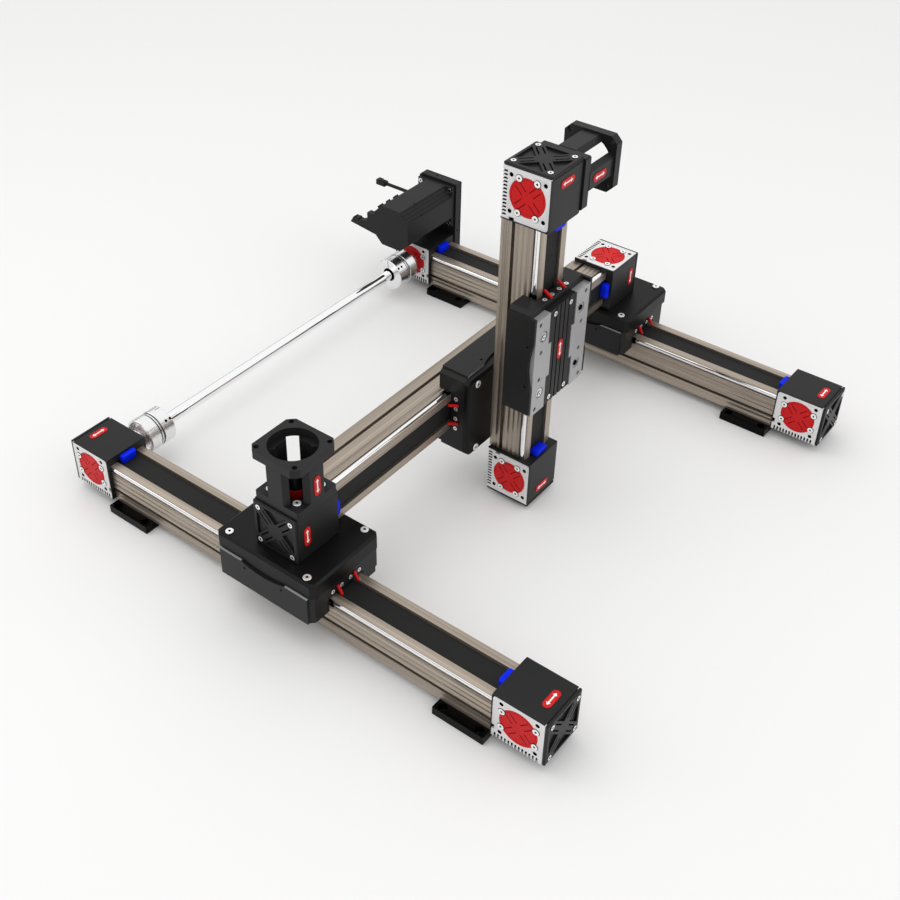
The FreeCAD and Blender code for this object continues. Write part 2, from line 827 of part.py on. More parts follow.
def make_foot():
    """Foot plate across the profile's back, with two counterbored holes in each outer strip."""
    body = new_body("Foot")
    pad(body, "XY_Plane", [[("0 - foot_length / 2", "0 - foot_width / 2"),
                            ("foot_length / 2", "0 - foot_width / 2"),
                            ("foot_length / 2", "foot_width / 2"),
                            ("0 - foot_length / 2", "foot_width / 2")]], "foot_height")
    corners = [(sign_x + "foot_hole_along / 2", sign_y + "foot_hole_across / 2")
               for sign_x in ("", "0 - ") for sign_y in ("", "0 - ")]
    pocket(body, "XY_Plane", [("circle", x, y, "foot_hole_radius") for x, y in corners], None,
           "Holes", flip=True)
    pocket(body, "XY_Plane", [("circle", x, y, "foot_head_radius") for x, y in corners],
           "foot_head_depth", "Heads", lift="foot_height")
    return body


foot = make_foot()
feet = []
for rail in RAILS:
    for sign in ("0 - ", ""):
        along = "%s(rail_length / 2 - foot_from_end)" % sign
        feet.append((foot, rail.spot(along, "0", "0 - back_drop - foot_height"), rail.turn))
node("rail_feet", feet)


# Drive line of the rails

def make_stub_pulley():
    """Rail drive pulley: its shaft runs on through the cover into the coupling."""
    return make_pulley("StubPulley", "0 - (%s)" % SHORT_END,
                       "housing_width / 2 + plate_thick + disc_end - end_gap")


def make_box_stub_pulley():
    """Far rail's drive pulley: its shaft reaches the coupling on one side and the belt box on the other."""
    return make_pulley("BoxStubPulley", "0 - (housing_width / 2 + plate_thick + box_depth - lid_thick - end_gap)",
                       "housing_width / 2 + plate_thick + disc_end - end_gap")


def make_coupling():
    """Disc coupling: hub in a cup, disc pack and a wide clamp ring with a sunk face, about the piece's Z."""
    body = new_body("ShaftCoupling")
    face = "coupling_end - face_depth"
    revolve(body, "XZ_Plane", [[("shaft_radius", "hub_start"), ("hub_radius", "hub_start"),
                                ("hub_radius", "cup_floor"), ("cup_radius", "cup_floor"),
                                ("cup_radius", "ring_start"), ("ring_radius", "ring_start"),
                                ("ring_radius", "ring_end"), ("neck_radius", "ring_end"),
                                ("neck_radius", "disc_start"), ("disc_radius", "disc_start"),
                                ("disc_radius", "disc_stop"), ("neck_radius", "disc_stop"),
                                ("neck_radius", "disc_end"), ("ring_radius", "disc_end"),
                                ("ring_radius", "coupling_end"), ("face_radius", "coupling_end"),
                                ("face_radius", face), ("cross_radius", face),
                                ("cross_radius", "disc_end"), ("shaft_radius", "disc_end")]], "Z_Axis")
    return body


stub_pulley = make_stub_pulley()
box_stub_pulley = make_box_stub_pulley()
shaft_coupling = make_coupling()
cross_rod = rod("CrossRod", "cross_radius",
                "rail_spacing - 2 * (housing_width / 2 + plate_thick + disc_end)")
AXLE_X = "0 - rail_length / 2 + axle_inset"
AXLE_Z = BASE_HEIGHT + " + axle_height"
INNER_FACE = "rail_spacing / 2 - housing_width / 2 - plate_thick"
OUTER_FACE = "rail_spacing / 2 + housing_width / 2 + plate_thick"
node("rail_drive_pulleys", pulley_of(near_rail, stub_pulley, 0)
     + pulley_of(far_rail, box_stub_pulley, 0, flip=True))
node("shaft_couplings", [
    (shaft_coupling, (AXLE_X, "0 - (%s)" % INNER_FACE, AXLE_Z), Z_TO_Y),
    (shaft_coupling, (AXLE_X, INNER_FACE, AXLE_Z), Z_TO_MINUS_Y)])
node("cross_shaft", [(cross_rod, (AXLE_X, "0 - (%s) + disc_end" % INNER_FACE, AXLE_Z), Z_TO_Y)])


def make_belt_box():
    """Belt box on the far rail's drive block: wall, rim and open back, bored for shaft and servo pilot."""
    body = new_body("BeltBox")
    half = "box_width / 2"
    outline = [("0 - " + half, "0"), (half, "0"), (half, "box_rise"),
               ("0 - %s + box_chamfer" % half, "box_rise"), ("0 - " + half, "box_rise - box_chamfer")]
    pad(body, "XZ_Plane", [outline], "box_depth - lid_thick", flip=True)
    inner = half + " - box_wall"
    room = [("0 - (%s)" % inner, "box_wall"), (inner, "box_wall"), (inner, "box_rise - box_wall"),
            ("0 - (%s)" % inner, "box_rise - box_wall")]
    pocket(body, "XZ_Plane", [room], "box_depth - lid_thick - box_wall", "Room", flip=True,
           lift="0 - box_depth + lid_thick")
    pocket(body, "XZ_Plane", [("circle", "0", "axle_height", "shaft_radius + running_gap"),
                              ("circle", "0", "servo_height", "servo_bore_radius")], None, "Bores")
    return body


def make_lid():
    body = new_body("BeltBoxLid")
    half = "box_width / 2"
    outline = [("0 - " + half, "0"), (half, "0"), (half, "box_rise"),
               ("0 - %s + box_chamfer" % half, "box_rise"), ("0 - " + half, "box_rise - box_chamfer")]
    pad(body, "XZ_Plane", [outline], "lid_thick", flip=True)
    return body


def make_servo():
    """Servo: square flange, body with bevelled corners and a socket that tapers out of its rear left side."""
    body = new_body("Servo")
    half = "servo_size / 2"
    square = [("0 - " + half, "0 - " + half), (half, "0 - " + half), (half, half), ("0 - " + half, half)]
    pad(body, "XY_Plane", [square], "servo_flange", "Flange")
    cut_half = "(servo_size / 2 - servo_bevel)"
    octagon = []
    for sign_x, sign_y, swap in ((1, -1, 0), (1, -1, 1), (1, 1, 1), (1, 1, 0),
                                 (-1, 1, 0), (-1, 1, 1), (-1, -1, 1), (-1, -1, 0)):
        x, y = (half, cut_half) if swap else (cut_half, half)
        octagon.append((x if sign_x > 0 else "0 - " + x, y if sign_y > 0 else "0 - " + y))
    pad(body, "XY_Plane", [octagon], "servo_length", "Barrel")
    root, tip = half + " - connector_root", half + " + connector_reach"
    pad(body, "XY_Plane", [[(root, "servo_height - connector_split"), (tip, "servo_height - connector_split"),
                            (tip, "servo_height - connector_tip"), (root, "servo_height - connector_low")]],
        "connector_depth", "LowSocket", lift="servo_length - connector_depth")
    return body


servo = make_servo()
high_socket = box("HighSocket", "connector_short", "connector_high - connector_split", "connector_depth",
                  ("servo_size / 2", "0 - (connector_high - servo_height)",
                   "servo_length - connector_depth"))
servo_whole = fuse("ServoWhole", [servo, high_socket])
belt_box = make_belt_box()
belt_box_lid = make_lid()

BELT_LINE = "(%s) + box_wall + (box_depth - box_wall - lid_thick) / 2" % OUTER_FACE
BOX_SPOT = (AXLE_X, OUTER_FACE, BASE_HEIGHT)
SERVO_SPOT = (AXLE_X, OUTER_FACE, BASE_HEIGHT + " + servo_height")
# The servo's own X points away from the gantry once it is turned, its own Z along the gantry's -Y.
TURN_SERVO = Rotation(Vector(0, 1, -1), 180)
node("pulley_box", [(belt_box, BOX_SPOT, Rotation())])
node("pulley_box_lid", [(belt_box_lid, (AXLE_X, "(%s) + box_depth - lid_thick" % OUTER_FACE, BASE_HEIGHT),
                         Rotation())])


def make_reduction_belt():
    """Timing belt from the servo's pulley down to the driven pulley: tangent runs and two arcs."""
    rise = value("servo_height - axle_height")
    width = value("reduction_belt_width")

    def loop(growth):
        small = value("servo_pulley_radius") + growth
        large = value("driven_pulley_radius") + growth
        lean = math.asin((large - small) / rise)
        low = Vector(0, 0, value("axle_height"))
        high = Vector(0, 0, value("servo_height"))

        def rim(centre, radius, angle):
            return centre + Vector(radius * math.cos(angle), 0, radius * math.sin(angle))

        right_low, right_high = rim(low, large, lean), rim(high, small, lean)
        left_low, left_high = rim(low, large, math.pi - lean), rim(high, small, math.pi - lean)
        edges = [Part.makeLine(right_low, right_high),
                 Part.Arc(right_high, rim(high, small, math.pi / 2), left_high).toShape(),
                 Part.makeLine(left_high, left_low),
                 Part.Arc(left_low, rim(low, large, -math.pi / 2), right_low).toShape()]
        return Part.Face(Part.Wire(edges)).extrude(Vector(0, width, 0))

    gap = value("pulley_gap")
    item = doc.addObject("Part::Feature", "ReductionBelt")
    item.Shape = loop(gap + value("reduction_belt_thick")).cut(loop(gap))
    return item


reduction_belt = make_reduction_belt()
driven_disc = rod("DrivenDisc", "driven_pulley_radius", "reduction_belt_width")
driven_bore = rod("DrivenBore", "shaft_radius", "reduction_belt_width")
driven_pulley = cut("DrivenPulley", driven_disc, driven_bore)
servo_pulley_disc = rod("ServoPulleyDisc", "servo_pulley_radius", "reduction_belt_width")
servo_stub_length = "box_wall + (box_depth - box_wall - lid_thick - reduction_belt_width) / 2 - end_gap"
servo_stub = rod("ServoStub", "shaft_radius", servo_stub_length, ("0", "0", "0 - (%s)" % servo_stub_length))
servo_pulley = fuse("ServoPulley", [servo_pulley_disc, servo_stub])
BELT_START = "(%s) - reduction_belt_width / 2" % BELT_LINE
node("reduction_belt", [(reduction_belt, (AXLE_X, BELT_START, BASE_HEIGHT), Rotation())])
node("driven_timing_pulley", [(driven_pulley, (AXLE_X, BELT_START, AXLE_Z), Z_TO_Y)])
node("servo_timing_pulley", [(servo_pulley, (AXLE_X, BELT_START, BASE_HEIGHT + " + servo_height"), Z_TO_Y)])
node("servo_motor", [(servo_whole, SERVO_SPOT, TURN_SERVO)])

# The servo's short lead stands straight out of its left side and ends in a plug.
CABLE_Y = "(%s) - cable_from_flange" % OUTER_FACE
CABLE_Z = BASE_HEIGHT + " + cable_height"
SERVO_LEFT = AXLE_X + " - servo_size / 2"
cable = rod("Cable", "cable_radius", "cable_length")
plug = box("Plug", "plug_length", "plug_width", "plug_thick", ("0", "0", "0"))
node("servo_cable", [(cable, (SERVO_LEFT, CABLE_Y, CABLE_Z), Rotation(Vector(0, 1, 0), -90))])
node("servo_plug", [(plug, (SERVO_LEFT + " - cable_length - plug_length", CABLE_Y + " - plug_width / 2",
                            CABLE_Z + " - plug_thick / 2"), Rotation())])


# Carriages, about their own middle, in the module's axes

ROLLER_SIDE = "rod_side + (rod_radius + roller_gap) * %s + roller_neck" % ROOT_TWO
ROLLER_ALONG = "carriage_length / 2 - roller_inset"
CORNERS = [(x, y) for x in ("", "0 - ") for y in ("", "0 - ")]


def make_carriage(name, high):
    """Carriage body: a bridge over the profile with a channel, four roller rooms and cut corners."""
    body = new_body(name)
    half = "carriage_half_width"
    wall = "carriage_wall"
    section = [("0 - " + half, "carriage_low"), ("0 - " + wall, "carriage_low"),
               ("0 - " + wall, "carriage_ceiling"), (wall, "carriage_ceiling"),
               (wall, "carriage_low"), (half, "carriage_low"), (half, high), ("0 - " + half, high)]
    pad(body, "YZ_Plane", [section], "carriage_length", lift="0 - carriage_length / 2")
    pocket(body, "XY_Plane", [("circle", "%s(%s)" % (x, ROLLER_ALONG), "%s(%s)" % (y, ROLLER_SIDE),
                               "roller_pocket") for x, y in CORNERS],
           "roller_ceiling - carriage_low + overcut", "RollerRooms", flip=True, lift="carriage_low - overcut")
    end = value("carriage_length") / 2 - 0.01
    chamfer(body, "carriage_chamfer", lambda a, b: min(abs(a.x), abs(b.x)) > end
            and min(abs(a.y), abs(b.y)) > value(half) - 0.01 and a.y * b.y > 0
            and abs(a.z - b.z) > 1)
    return body


def make_side_cover():
    """Side cover with a shallow scallop in its upper edge and two small holes under it."""
    body = new_body("SideCover")
    half, high = "side_cover_length / 2", "carriage_high"
    pad(body, "XZ_Plane", [[("0 - " + half, "side_cover_low"), (half, "side_cover_low"),
                            (half, high), ("0 - " + half, high)]], "side_cover_thick", flip=True)
    radius = "((scallop_half * scallop_half + scallop_depth * scallop_depth) / (2 * scallop_depth))"
    pocket(body, "XZ_Plane", [("circle", "0", "%s + %s - scallop_depth" % (high, radius), radius)],
           None, "Scallop")
    pocket(body, "XZ_Plane", [("circle", side + "cover_hole_along / 2", high + " - cover_hole_drop",
                               "cover_hole_radius") for side in ("", "0 - ")],
           "cover_hole_depth", "CoverHoles", flip=True, lift="0 - side_cover_thick")
    return body


def make_wiper():
    """Belt wiper: a slanted tongue that stands out of a carriage's end face, above the profile's lip."""
    body = new_body("Wiper")
    pad(body, "XZ_Plane", [[("0", "wiper_high - wiper_thick"), ("wiper_reach - wiper_lip", "wiper_low"),
                            ("wiper_reach", "wiper_low"), ("wiper_reach", "wiper_low + wiper_lip"),
                            ("wiper_lip", "wiper_high"), ("0", "wiper_high")]], "wiper_width", flip=True)
    return body


def make_roller():
    """Grooved guide roller that runs on a rod, with the stem it hangs from."""
    body = new_body("Roller")
    half = "(roller_rim - roller_neck)"
    revolve(body, "XZ_Plane", [[("0", "0 - " + half), ("roller_rim", "0 - " + half),
                                ("roller_neck", "0"), ("roller_rim", half), ("roller_stem", half),
                                ("roller_stem", "roller_ceiling - rod_height"),
                                ("0", "roller_ceiling - rod_height")]], "Z_Axis")
    return body


def make_adapter(name, thick):
    """Adapter plate with cut corners and a bevelled face."""
    body = new_body(name)
    x, y, c = "adapter_length / 2", "adapter_width / 2", "adapter_corner"
    outline = [("0 - %s + %s" % (x, c), "0 - " + y), ("%s - %s" % (x, c), "0 - " + y),
               (x, "0 - %s + %s" % (y, c)), (x, "%s - %s" % (y, c)),
               ("%s - %s" % (x, c), y), ("0 - %s + %s" % (x, c), y),
               ("0 - " + x, "%s - %s" % (y, c)), ("0 - " + x, "0 - %s + %s" % (y, c))]
    pad(body, "XY_Plane", [outline], thick)
    top = value(thick) - 0.01
    chamfer(body, "adapter_chamfer", lambda a, b: a.z > top and b.z > top)
    return body


def rollers_on(module, along):
    return [(roller, module.spot("%s %s (%s)" % (along, "+" if not x else "-", ROLLER_ALONG),
                                 "%s(%s)" % (y, ROLLER_SIDE), "rod_height"), module.turn)
            for x, y in CORNERS]


def side_covers_on(module, source, along):
    return [(source, module.spot(along, "carriage_half_width", "0"), module.turn),
            (source, module.spot(along, "0 - carriage_half_width", "0"), module.turn * HALF_TURN)]


def wipers_on(module, along):
    """Two tongues at each end of a carriage, on either side of the belt."""
    pieces = []
    for side in ("wiper_side", "0 - wiper_side - wiper_width"):
        pieces.append((wiper, module.spot(along + " + carriage_length / 2", side), module.turn))
    for side in ("0 - wiper_side", "wiper_side + wiper_width"):
        pieces.append((wiper, module.spot(along + " - carriage_length / 2", side), module.turn * HALF_TURN))
    return pieces


carriage = make_carriage("Carriage", "carriage_high")
front_carriage = make_carriage("FrontCarriage", "carriage_front")
side_cover = make_side_cover()
wiper = make_wiper()
roller = make_roller()
lower_adapter = make_adapter("LowerAdapter", "lower_adapter")
upper_adapter = make_adapter("UpperAdapter", "upper_adapter")

y_carriages, y_covers, y_rollers, y_adapters, y_wipers = [], [], [], [], []
for rail in RAILS:
    y_carriages.append((carriage, rail.spot("gantry_rest"), rail.turn))
    y_covers += side_covers_on(rail, side_cover, "gantry_rest")
    y_rollers += rollers_on(rail, "gantry_rest")
    y_wipers += wipers_on(rail, "gantry_rest")
    y_adapters.append((lower_adapter, rail.spot("gantry_rest", "0", "carriage_high"), rail.turn))
node("y_carriages", y_carriages)
node("y_side_covers", y_covers)
node("y_guide_rollers", y_rollers)
node("y_adapter_plates", y_adapters)
node("y_wipers", y_wipers)


# Motor bell, about its own axis, standing on the block's side plate

def make_bell():
    """Motor bell: square base, waisted column with four windows, flange with pilot bore and bolt holes."""
    body = new_body("MotorBell")

    def square(size, corner):
        half = "%s / 2" % size
        points = []
        for x, y, swap in ((1, -1, 0), (1, -1, 1), (1, 1, 1), (1, 1, 0),
                           (-1, 1, 0), (-1, 1, 1), (-1, -1, 1), (-1, -1, 0)):
            near = "(%s - %s)" % (half, corner)
            across, up = (half, near) if swap else (near, half)
            points.append((across if x > 0 else "0 - " + across, up if y > 0 else "0 - " + up))
        return points

    pad(body, "XY_Plane", [square("bell_base", "housing_chamfer")], "bell_base_thick", "Base")
    pad(body, "XY_Plane", [square("bell_column", "bell_column_corner")],
        "bell_height - bell_base_thick - bell_top_thick", "Column", lift="bell_base_thick")
    pad(body, "XY_Plane", [square("bell_top", "bell_top_corner")], "bell_top_thick", "Top",
        lift="bell_height - bell_top_thick")
    pocket(body, "XY_Plane", [("circle", "0", "0", "bell_bore_radius")], None, "Bore", flip=True)
    pocket(body, "XY_Plane", [("circle", "0", "0", "pilot_radius")], "bell_top_thick", "Pilot",
           lift="bell_height")
    half = "bolt_square / 2"
    pocket(body, "XY_Plane", [("circle", x + half, y + half, "bolt_hole_radius") for x, y in CORNERS],
           "bell_top_thick", "BoltHoles", lift="bell_height")
    return body


bell = make_bell()
window_tools = []
for number, turn_angle in enumerate((45, 135)):
    tool = box("Window%d" % number, "2 * bell_column", "bell_window",
               "bell_height - bell_base_thick - bell_top_thick", ("0", "0", "0"))
    window_tools.append(tool)
    angle = math.radians(turn_angle)
    turn = Rotation(Vector(0, 0, 1), turn_angle)
    put(tool, ("0 - bell_column * %.6f + bell_window / 2 * %.6f" % (math.cos(angle), math.sin(angle)),
               "0 - bell_column * %.6f - bell_window / 2 * %.6f" % (math.sin(angle), math.cos(angle)),
               "bell_base_thick"), turn)
windows = fuse("Windows", window_tools)
open_bell = cut("OpenBell", bell, windows)
PLATE_FACE = "housing_width / 2 + plate_thick"

# Beam and what it carries; its drive end stands on the near carriage, the bell points up.

node("beam_profile", [(profiles["beam"], beam.spot(), beam.turn)])
node("beam_guide_rods", rods_of(beam))
node("beam_housings", housings_of(beam))
BEAM_DARK = ((0, 1), (0, -1), (1, -1))
node("beam_side_plates", side_plates_of(beam, BEAM_DARK))
node("beam_dark_plates", side_plates_of(beam, BEAM_DARK, take_dark=True))
node("beam_bearing_covers", covers_of(beam, bare=((0, 1),)))
node("beam_end_caps", caps_of(beam))
node("beam_bumpers", bumpers_of(beam))
node("beam_belt", [(belts["beam"], beam.spot(), beam.turn)])
node("beam_motor_bell", [(open_bell, beam.end_spot(0, "axle_inset", PLATE_FACE, "axle_height"),
                          beam.turn * Z_TO_Y)])
node("beam_drive_pulley", pulley_of(beam, drive_pulley, 0))
node("beam_motor_coupling", pulley_of(beam, motor_coupling, 0))
node("beam_idler_pulley", pulley_of(beam, idler_pulley, 1))
node("x_carriage", [(carriage, beam.spot("beam_carriage_rest"), beam.turn)])
node("x_side_covers", side_covers_on(beam, side_cover, "beam_carriage_rest"))
node("x_guide_rollers", rollers_on(beam, "beam_carriage_rest"))
node("x_wipers", wipers_on(beam, "beam_carriage_rest"))
node("x_adapter_plate", [(upper_adapter, beam.spot("beam_carriage_rest", "0", "carriage_high"), beam.turn)])

# Upright; its drive end is the top one and its bell points to +Y, which is -Y in the module's frame.

node("z_profile", [(profiles["z"], upright.spot(), upright.turn)])
node("z_guide_rods", rods_of(upright))
node("z_housings", housings_of(upright))
node("z_side_plates", side_plates_of(upright, ((1, -1),)))
node("z_dark_plate", side_plates_of(upright, ((1, -1),), take_dark=True))
node("z_bearing_covers", covers_of(upright, bare=((1, -1),)))
node("z_end_caps", caps_of(upright))
node("z_bumpers", bumpers_of(upright))
node("z_belt", [(belts["z"], upright.spot(), upright.turn)])
node("z_motor_bell", [(open_bell, upright.spot("upright_length / 2 - axle_inset", "0 - (%s)" % PLATE_FACE,
                                               "axle_height"), upright.turn * Z_TO_MINUS_Y)])
node("z_drive_pulley", pulley_of(upright, drive_pulley, 1, flip=True))
node("z_motor_coupling", pulley_of(upright, motor_coupling, 1, flip=True))
node("z_idler_pulley", pulley_of(upright, idler_pulley, 0))


def make_strip():
    """Silver mounting strip: wider in its middle, four threaded holes and two eccentric screw seats."""
    body = new_body("FrontStrip")
    end, middle = "front_length / 2", "strip_middle_half"
    outline = [("0 - " + end, "strip_inner"), ("0 - " + middle, "strip_inner"),
               ("0 - " + middle, "strip_middle_inner"), (middle, "strip_middle_inner"),
               (middle, "strip_inner"), (end, "strip_inner"), (end, "strip_outer"),
               ("0 - " + end, "strip_outer")]
    pad(body, "XY_Plane", [outline], "carriage_high - carriage_front")
    holes = [("circle", x + "%s_hole_along / 2" % row, "%s_hole_across / 2" % row, "strip_hole_radius")
             for row in ("outer", "inner") for x in ("", "0 - ")]
    pocket(body, "XY_Plane", holes, None, "Holes", flip=True)
    high = "carriage_high - carriage_front"
    for name, radius, depth, shift in (("Seats", "eccentric_radius", "eccentric_depth", "0"),
                                       ("Sockets", "strip_hole_radius", high, "eccentric_offset")):
        pocket(body, "XY_Plane", [("circle", x + "eccentric_along / 2 + " + shift,
                                   "eccentric_across / 2", radius) for x in ("", "0 - ")],
               depth, name, lift=high)
    return body


def make_front_cover():
    """Black centre cover of the upright's carriage, with lengthwise grooves."""
    body = new_body("FrontCover")
    end, middle = "front_length / 2", "(strip_middle_half + front_seam)"
    wide, narrow = "(strip_inner - front_seam)", "(strip_middle_inner - front_seam)"
    right = [("0 - " + end, wide), ("0 - " + middle, wide), ("0 - " + middle, narrow),
             (middle, narrow), (middle, wide), (end, wide)]
    left = [(x, "0 - " + y) for x, y in reversed(right)]
    high = "carriage_high - carriage_front - front_cover_drop"
    pad(body, "XY_Plane", [right + left], high)
    first = "0 - (front_groove_count - 1) / 2 * front_groove_pitch - front_groove_width / 2"
    groove = pocket(body, "YZ_Plane", [[(first, high + " - front_groove_depth"),
                                        (first + " + front_groove_width", high + " - front_groove_depth"),
                                        (first + " + front_groove_width", high + " + overcut"),
                                        (first, high + " + overcut")]],
                    "front_length", "Groove", lift="front_length / 2")
    repeat_along(body, groove, "Y_Axis", "front_groove_pitch * (front_groove_count - 1)",
                 "front_groove_count")
    return body


strip = make_strip()
front_cover = make_front_cover()
FRONT_MIDDLE = "upright_carriage_rest + front_shift"
node("z_carriage", [(front_carriage, upright.spot("upright_carriage_rest"), upright.turn)])
node("z_side_covers", side_covers_on(upright, side_cover, "upright_carriage_rest"))
node("z_wipers", wipers_on(upright, "upright_carriage_rest"))
node("z_guide_rollers", rollers_on(upright, "upright_carriage_rest"))
node("z_mounting_strips", [(strip, upright.spot(FRONT_MIDDLE, "0", "carriage_front"), upright.turn),
                           (strip, upright.spot(FRONT_MIDDLE, "0", "carriage_front"),
                            upright.turn * HALF_TURN)])
node("z_centre_cover", [(front_cover, upright.spot(FRONT_MIDDLE, "0", "carriage_front"), upright.turn)])


# Check every object, then write each sub-part

doc.recompute()
for item in doc.Objects:
    if {"Invalid", "Error"} & set(item.State):
        raise RuntimeError("%s failed: %s" % (item.Name, item.State))
os.makedirs("parts", exist_ok=True)
for group in nodes:
    if group.Shape.isNull() or not group.Shape.isValid():
        raise RuntimeError("%s has no valid shape" % group.Label)
    group.Shape.exportStep("parts/%s.step" % group.Label)
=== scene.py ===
import json
from math import cos, pi, radians, sin, sqrt

import bpy
from mathutils import Matrix, Vector

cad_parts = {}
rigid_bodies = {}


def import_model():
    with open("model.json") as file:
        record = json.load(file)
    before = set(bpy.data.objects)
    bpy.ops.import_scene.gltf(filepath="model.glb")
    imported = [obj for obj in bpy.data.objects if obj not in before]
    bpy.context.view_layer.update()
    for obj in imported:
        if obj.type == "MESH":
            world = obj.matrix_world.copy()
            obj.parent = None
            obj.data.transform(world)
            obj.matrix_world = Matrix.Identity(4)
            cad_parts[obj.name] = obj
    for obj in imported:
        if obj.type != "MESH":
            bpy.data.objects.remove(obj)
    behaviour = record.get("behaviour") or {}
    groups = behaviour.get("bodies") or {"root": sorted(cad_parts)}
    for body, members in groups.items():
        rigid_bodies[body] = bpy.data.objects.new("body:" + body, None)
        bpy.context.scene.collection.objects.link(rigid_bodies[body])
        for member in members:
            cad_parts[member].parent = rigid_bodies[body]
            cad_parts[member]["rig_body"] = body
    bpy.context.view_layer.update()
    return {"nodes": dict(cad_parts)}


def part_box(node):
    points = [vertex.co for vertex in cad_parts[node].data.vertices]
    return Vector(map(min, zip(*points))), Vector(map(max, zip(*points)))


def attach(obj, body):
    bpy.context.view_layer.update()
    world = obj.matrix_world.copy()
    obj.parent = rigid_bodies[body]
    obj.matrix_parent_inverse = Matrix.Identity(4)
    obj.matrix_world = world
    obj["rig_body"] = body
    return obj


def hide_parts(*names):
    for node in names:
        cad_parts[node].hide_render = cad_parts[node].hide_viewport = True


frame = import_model()
nodes = frame["nodes"]

# Sizes in metres. A module has U along its profile, V across it, and W from its back to its belt.
HOUSING_HALF = 0.0255
HOUSING_LENGTH = 0.058
BLOCK_HEIGHT = 0.0565
LIP_THICK = 0.001
PLATE_THICK = 0.003
PLATE_INSET = 0.0004
PLATE_LENGTH = 0.0565
PLATE_CORNER = 0.004
AXLE_INSET = 0.0275
AXLE_HEIGHT = 0.030
TOOTH_COUNT = 13
TOOTH_START = 0.0045
TOOTH_PITCH = 0.0039
TOOTH_GAP = 0.002
TOOTH_DEPTH = 0.0058
COVER_RADIUS = 0.021
GROOVE_SIDE = 0.0032
TAPPED_SIDE = 0.0197
TAPPED_RADIUS = 0.0023
CAP_HALF = 0.02825
CAP_THICK = 0.0034
SCREW_PROUD = 0.0006
COVER_SCREWS = (0.0187, 0.0105)
CAP_SCREW_SIDE = 0.0213
STOP_HEIGHT = 0.0444
ROD_RADIUS = 0.004
ROD_SIDE = 0.020
ROD_HEIGHT = 0.0413
CARRIAGE_HALF = 0.06375
CARRIAGE_TOP = 0.065
END_SCREW_SIDES = (-0.0200, -0.0067, 0.0067, 0.0200)
END_SCREW_HEIGHT = 0.0535
ADAPTER_SCREWS = (0.0526, 0.0434)
BELL_COLUMN = 0.02875
BELL_BASE_THICK = 0.010
BELL_SCREW_SIDE = 0.0175
SHAFT_GAP = 0.00605
FLANGE_SCREW_SIDE = 0.0253
# The finest bevel, and the margin in tests of where a face lies
HAIR = 0.0001


# Places and turns

def shift(x=0, y=0, z=0):
    return Matrix.Translation((x, y, z))


def spin(degrees, axis):
    return Matrix.Rotation(radians(degrees), 4, axis)


def corners(a, b):
    return [(x, y) for x in (-a, a) for y in (-b, b)]


def radius_of(point):
    return sqrt(point.x ** 2 + point.y ** 2)


# Turns from a piece's own XY and Z to the faces of a block or carriage
SIDE_UP = {1: spin(-90, "X"), -1: spin(90, "X")}
OUTWARD = spin(-90, "Y")
INWARD = spin(90, "Y")
PLATE_FLIP = Matrix(((1, 0, 0, 0), (0, 0, 1, 0), (0, 1, 0, 0), (0, 0, 0, 1)))
LENGTHWAYS = Matrix(((0, 0, 1, 0), (1, 0, 0, 0), (0, 1, 0, 0), (0, 0, 0, 1)))
QUARTERS = [spin(45 + 90 * number, "Z") for number in range(4)]


# Where the modules are

class Module:
    """A linear module: its middle, axes U, V and W, length over the end blocks, and body."""

    def __init__(self, middle, u, v, w, length, body):
        turn = Matrix((u, v, w)).transposed().to_4x4()
        self.length = length
        self.body = body
        self.matrix = shift(*middle) @ turn

    def at(self, u=0, v=0, w=0):
        return self.matrix @ shift(u, v, w)

    def end(self, number):
        """Frame of an end block, with U pointing inwards from the block's outer face."""
        if number == 0:
            return self.at(-self.length / 2)
        return self.at(self.length / 2) @ spin(180, "Z")


def middle_of(node):
    low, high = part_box(node)
    return (low + high) / 2


X, Y, Z = Vector((1, 0, 0)), Vector((0, 1, 0)), Vector((0, 0, 1))
rail_low, rail_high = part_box("rail_housings")
beam_low, beam_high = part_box("beam_housings")
z_low, z_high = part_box("z_housings")
near_rail = Module((0, middle_of("near_rail_profile").y, rail_low.z), X, Y, Z,
                   rail_high.x - rail_low.x, "base")
far_rail = Module((0, middle_of("far_rail_profile").y, rail_low.z), X, Y, Z,
                  rail_high.x - rail_low.x, "base")
beam = Module((beam_low.x, (beam_low.y + beam_high.y) / 2, (beam_low.z + beam_high.z) / 2), Y, Z, X,
              beam_high.y - beam_low.y, "gantry")
upright = Module((z_low.x, (z_low.y + z_high.y) / 2, (z_low.z + z_high.z) / 2), Z, -Y, X,
                 z_high.z - z_low.z, "x_head")


# Shader groups that the finishes share

def add(tree, kind, **values):
    node = tree.nodes.new(kind)
    for name, value in values.items():
        if name in node.inputs:
            node.inputs[name].default_value = value
        else:
            setattr(node, name, value)
    return node


def math_node(tree, operation, first, second, third=None):
    """A Math node fed by sockets or plain numbers."""
    node = add(tree, "ShaderNodeMath", operation=operation)
    for slot, value in enumerate((first, second, third)):
        if value is None:
            continue
        if isinstance(value, (int, float)):
            node.inputs[slot].default_value = value
        else:
            tree.links.new(value, node.inputs[slot])
    return node.outputs[0]


def tint_by(tree, color, level):
    tint = add(tree, "ShaderNodeVectorMath", operation="SCALE")
    tree.links.new(color, tint.inputs[0])
    tree.links.new(level, tint.inputs["Scale"])
    return tint.outputs[0]


